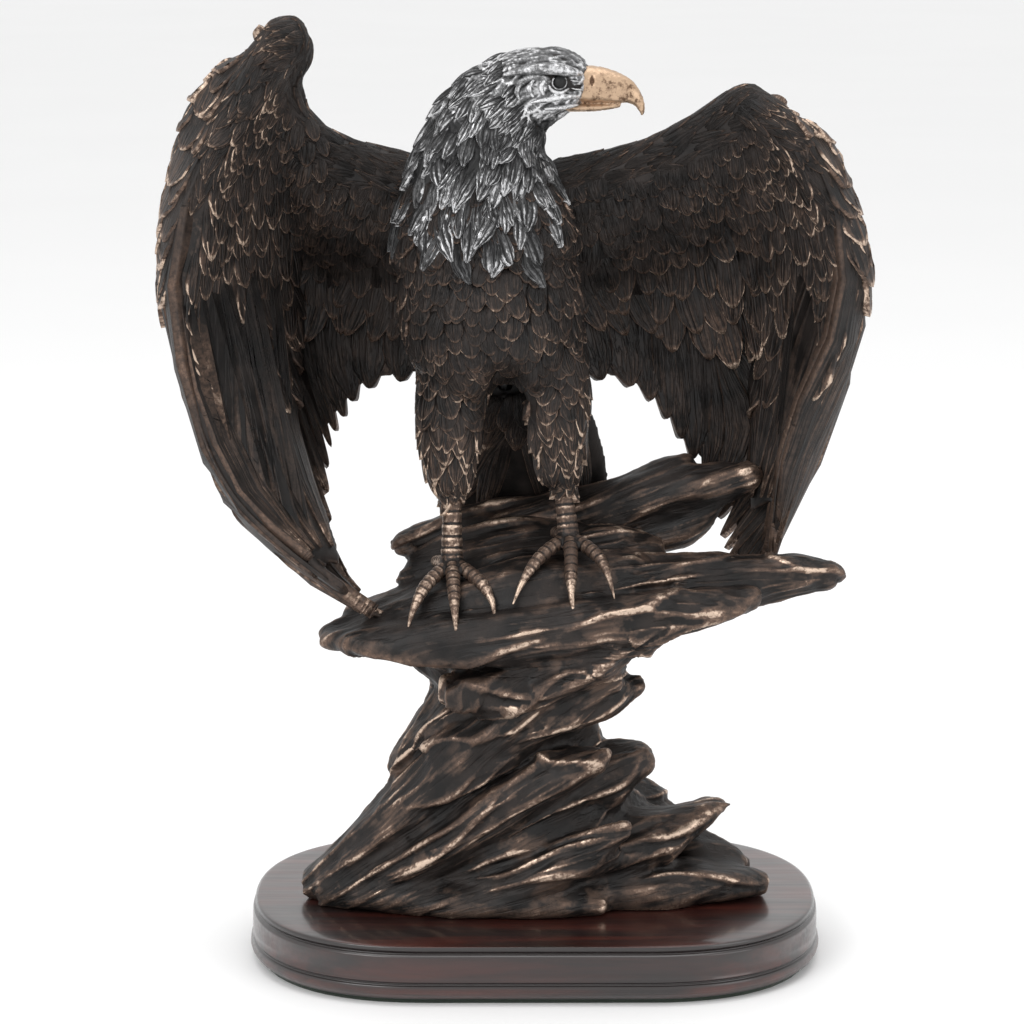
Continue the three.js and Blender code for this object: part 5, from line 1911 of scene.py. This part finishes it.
def build_plinth():
    """The moulded board, with its profile stepped down round a stretched outline."""
    low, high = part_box("plinth")
    half_length, half_depth = (high.x - low.x) / 2, (high.y - low.y) / 2
    straight = half_length - half_depth
    middle = (low + high) / 2

    def outline(angle, inset):
        c, s = math.cos(angle), math.sin(angle)
        radius = half_depth - inset * MM
        shift = math.copysign(straight, c) if abs(c) > 1e-9 else 0.0
        return middle.x + fuller(c) * radius + shift, middle.y + fuller(s) * radius

    bm = bmesh.new()
    face, ring = ring_of(bm, PLINTH_SIDES)
    angles = [2 * math.pi * (k + 0.5) / PLINTH_SIDES for k in range(PLINTH_SIDES)]
    for row, (inset, height, _) in enumerate(PLINTH_PROFILE):
        if row:
            grown = bmesh.ops.extrude_face_region(bm, geom=[face])["geom"]
            face = next(g for g in grown if isinstance(g, bmesh.types.BMFace))
            ring = list(face.verts)
        for angle, vert in zip(angles, ring):
            x, y = outline(angle, inset)
            vert.co = (x, y, height * MM)
    caps = [f for f in bm.faces if len(f.verts) > 4]
    bmesh.ops.recalc_face_normals(bm, faces=bm.faces[:])
    for _ in range(5):
        bmesh.ops.inset_region(bm, faces=caps, thickness=0.004)
    mesh = to_mesh(bm)
    co = points_of(mesh)
    heights = np.array([height for _, height, _ in PLINTH_PROFILE]) * MM
    # Painted shade by height: the profile's third column darkens the sunken coves and groove, and leaves the
    # proud bead light as a painted highlight.
    painted_shade_by_height = np.array([dark for _, _, dark in PLINTH_PROFILE])
    order = np.argsort(heights)
    edge = np.interp(co[:, 2], heights[order], painted_shade_by_height[order])
    flat = np.abs(normals_of(mesh)[:, 2]) > 0.98
    set_attribute(mesh, "edge", np.where(flat, 0.0, edge))
    skinned(mesh, "plinth_board", material("stained wood"), ["plinth"])


def finish_hardware():
    """Gives the CAD nodes that stay their own finish."""
    for name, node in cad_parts.items():
        if node.hide_render:
            continue
        node.data.materials.clear()
        node.data.materials.append(material("felt" if name == "felt_pad" else "steel"))


# ---------------------------------------------------------------------------------------------
# Stage
# ---------------------------------------------------------------------------------------------


def area_light(name, place, target, power, size):
    """A rectangular soft light aimed at target."""
    light = bpy.data.lights.new(name, "AREA")
    light.energy = power
    light.shape = "RECTANGLE"
    light.size, light.size_y = size
    lamp = bpy.data.objects.new(name, light)
    lamp.location = place
    lamp.rotation_euler = (Vector(target) - Vector(place)).to_track_quat("-Z", "Y").to_euler()
    bpy.context.scene.collection.objects.link(lamp)


def build_stage():
    """Pale floor, white world, soft lights and the camera."""
    plan = bpy.context.scene.statuette_stage
    centre = Vector((-0.0087, 0, 0.170))
    bm = bmesh.new()
    bmesh.ops.create_grid(bm, x_segments=2, y_segments=2, size=6)
    floor = bpy.data.objects.new("floor", to_mesh(bm, "floor"))
    graph = Graph("pale_floor")
    pale = graph.mix(graph.noise(3, 2), (0.86, 0.86, 0.86), (0.89, 0.89, 0.89))
    graph.shade(Base_Color=pale, Roughness=0.6)
    floor.data.materials.append(graph.material)
    bpy.context.scene.collection.objects.link(floor)
    world = bpy.data.worlds.new("studio")
    world.use_nodes = True
    world.node_tree.nodes["Background"].inputs[0].default_value = (1, 1, 1, 1)
    world.node_tree.nodes["Background"].inputs[1].default_value = 1.0
    bpy.context.scene.world = world
    area_light("key", (-0.9, -1.2, 1.2), centre, plan.key, (0.8, 0.8))
    area_light("fill", (1.2, -1.0, 0.6), centre, plan.key * 0.45, (0.8, 1.2))
    area_light("top", (0.0, 0.1, 1.5), centre, plan.key * 0.6, (1.2, 0.8))
    camera = bpy.data.cameras.new("camera")
    camera.lens = plan.lens
    camera.sensor_width = 36
    camera.dof.use_dof = False
    eye = bpy.data.objects.new("camera", camera)
    away = Vector((0, -math.cos(plan.elevation), math.sin(plan.elevation)))
    eye.location = centre + away * plan.distance
    eye.rotation_euler = (-away).to_track_quat("-Z", "Y").to_euler()
    bpy.context.scene.collection.objects.link(eye)
    bpy.context.scene.camera = eye
    bpy.context.scene.view_settings.view_transform = "Standard"


# ---------------------------------------------------------------------------------------------
# Add-on
# ---------------------------------------------------------------------------------------------


def needs(*nodes):
    """Stops an operator whose CAD nodes are missing from the frame."""
    missing = [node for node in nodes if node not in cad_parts]
    if missing:
        raise RuntimeError(f"the frame has no node named {missing}")


class STATUETTE_OT_stage(bpy.types.Operator):
    """Floor, soft studio light and camera"""

    bl_idname = "statuette.stage"
    bl_label = "Set the Stage"

    def execute(self, context):
        build_stage()
        return {"FINISHED"}


class STATUETTE_OT_plinth(bpy.types.Operator):
    """Moulded and stained plinth"""

    bl_idname = "statuette.plinth"
    bl_label = "Plinth"

    def execute(self, context):
        needs("plinth")
        build_plinth()
        return {"FINISHED"}


class STATUETTE_OT_driftwood(bpy.types.Operator):
    """Stump, perch and branch"""

    bl_idname = "statuette.driftwood"
    bl_label = "Driftwood"

    def execute(self, context):
        needs("stump_casting", "perch_casting", "branch_casting")
        build_driftwood()
        return {"FINISHED"}


class STATUETTE_OT_bust(bpy.types.Operator):
    """Breast, neck and head with their plumage"""

    bl_idname = "statuette.bust"
    bl_label = "Breast and Head"

    def execute(self, context):
        needs("torso_casting", "head_casting")
        tree = build_breast()
        build_head(tree)
        return {"FINISHED"}


class STATUETTE_OT_face(bpy.types.Operator):
    """Gilt beak, brows and eyes"""

    bl_idname = "statuette.face"
    bl_label = "Beak and Face"

    def execute(self, context):
        needs("beak")
        build_beak()
        build_face()
        return {"FINISHED"}


class STATUETTE_OT_legs(bpy.types.Operator):
    """Feathered thighs, scaled shanks, toes and claws"""

    bl_idname = "statuette.legs"
    bl_label = "Legs"

    def execute(self, context):
        needs("thigh_left", "thigh_right", "foot_left", "foot_right")
        for side in ("left", "right"):
            build_thigh(side)
            build_foot(side)
        return {"FINISHED"}


class STATUETTE_OT_tail(bpy.types.Operator):
    """Fanned tail behind the legs"""

    bl_idname = "statuette.tail"
    bl_label = "Tail"

    def execute(self, context):
        needs("tail_casting")
        build_tail()
        return {"FINISHED"}


class STATUETTE_OT_wings(bpy.types.Operator):
    """Both wings with coverts and flight feathers"""

    bl_idname = "statuette.wings"
    bl_label = "Wings"

    def execute(self, context):
        needs("wing_left", "wing_right")
        for side in ("left", "right"):
            build_wing(side)
        return {"FINISHED"}


class STATUETTE_OT_hardware(bpy.types.Operator):
    """Finishes of the felt, screws, washers, dowels and rods"""

    bl_idname = "statuette.hardware"
    bl_label = "Hardware"

    def execute(self, context):
        finish_hardware()
        return {"FINISHED"}


OPERATORS = (
    STATUETTE_OT_stage,
    STATUETTE_OT_plinth,
    STATUETTE_OT_driftwood,
    STATUETTE_OT_bust,
    STATUETTE_OT_face,
    STATUETTE_OT_legs,
    STATUETTE_OT_tail,
    STATUETTE_OT_wings,
    STATUETTE_OT_hardware,
)
GROUPS = {
    "statuette_plumage": PlumageSizes,
    "statuette_driftwood": DriftwoodSizes,
    "statuette_finish": FinishColours,
    "statuette_stage": StagePlan,
}


class STATUETTE_PT_panel(bpy.types.Panel):
    """Builds the statuette and holds its sizes and colours"""

    bl_label = "Statuette"
    bl_idname = "STATUETTE_PT_panel"
    bl_space_type = "VIEW_3D"
    bl_region_type = "UI"
    bl_category = "Statuette"

    def draw(self, context):
        for group in GROUPS:
            box = self.layout.box()
            settings = getattr(context.scene, group)
            for key in settings.__annotations__:
                box.prop(settings, key)
        for operator in OPERATORS:
            self.layout.operator(operator.bl_idname)


def register():
    for cls in (*GROUPS.values(), *OPERATORS, STATUETTE_PT_panel):
        bpy.utils.register_class(cls)
    for name, group in GROUPS.items():
        setattr(bpy.types.Scene, name, PointerProperty(type=group))


def unregister():
    for name in GROUPS:
        delattr(bpy.types.Scene, name)
    for cls in reversed((*GROUPS.values(), *OPERATORS, STATUETTE_PT_panel)):
        bpy.utils.unregister_class(cls)


def main():
    register()
    for operator in OPERATORS:
        group, name = operator.bl_idname.split(".")
        getattr(getattr(bpy.ops, group), name)()


if __name__ == "__main__":
    main()
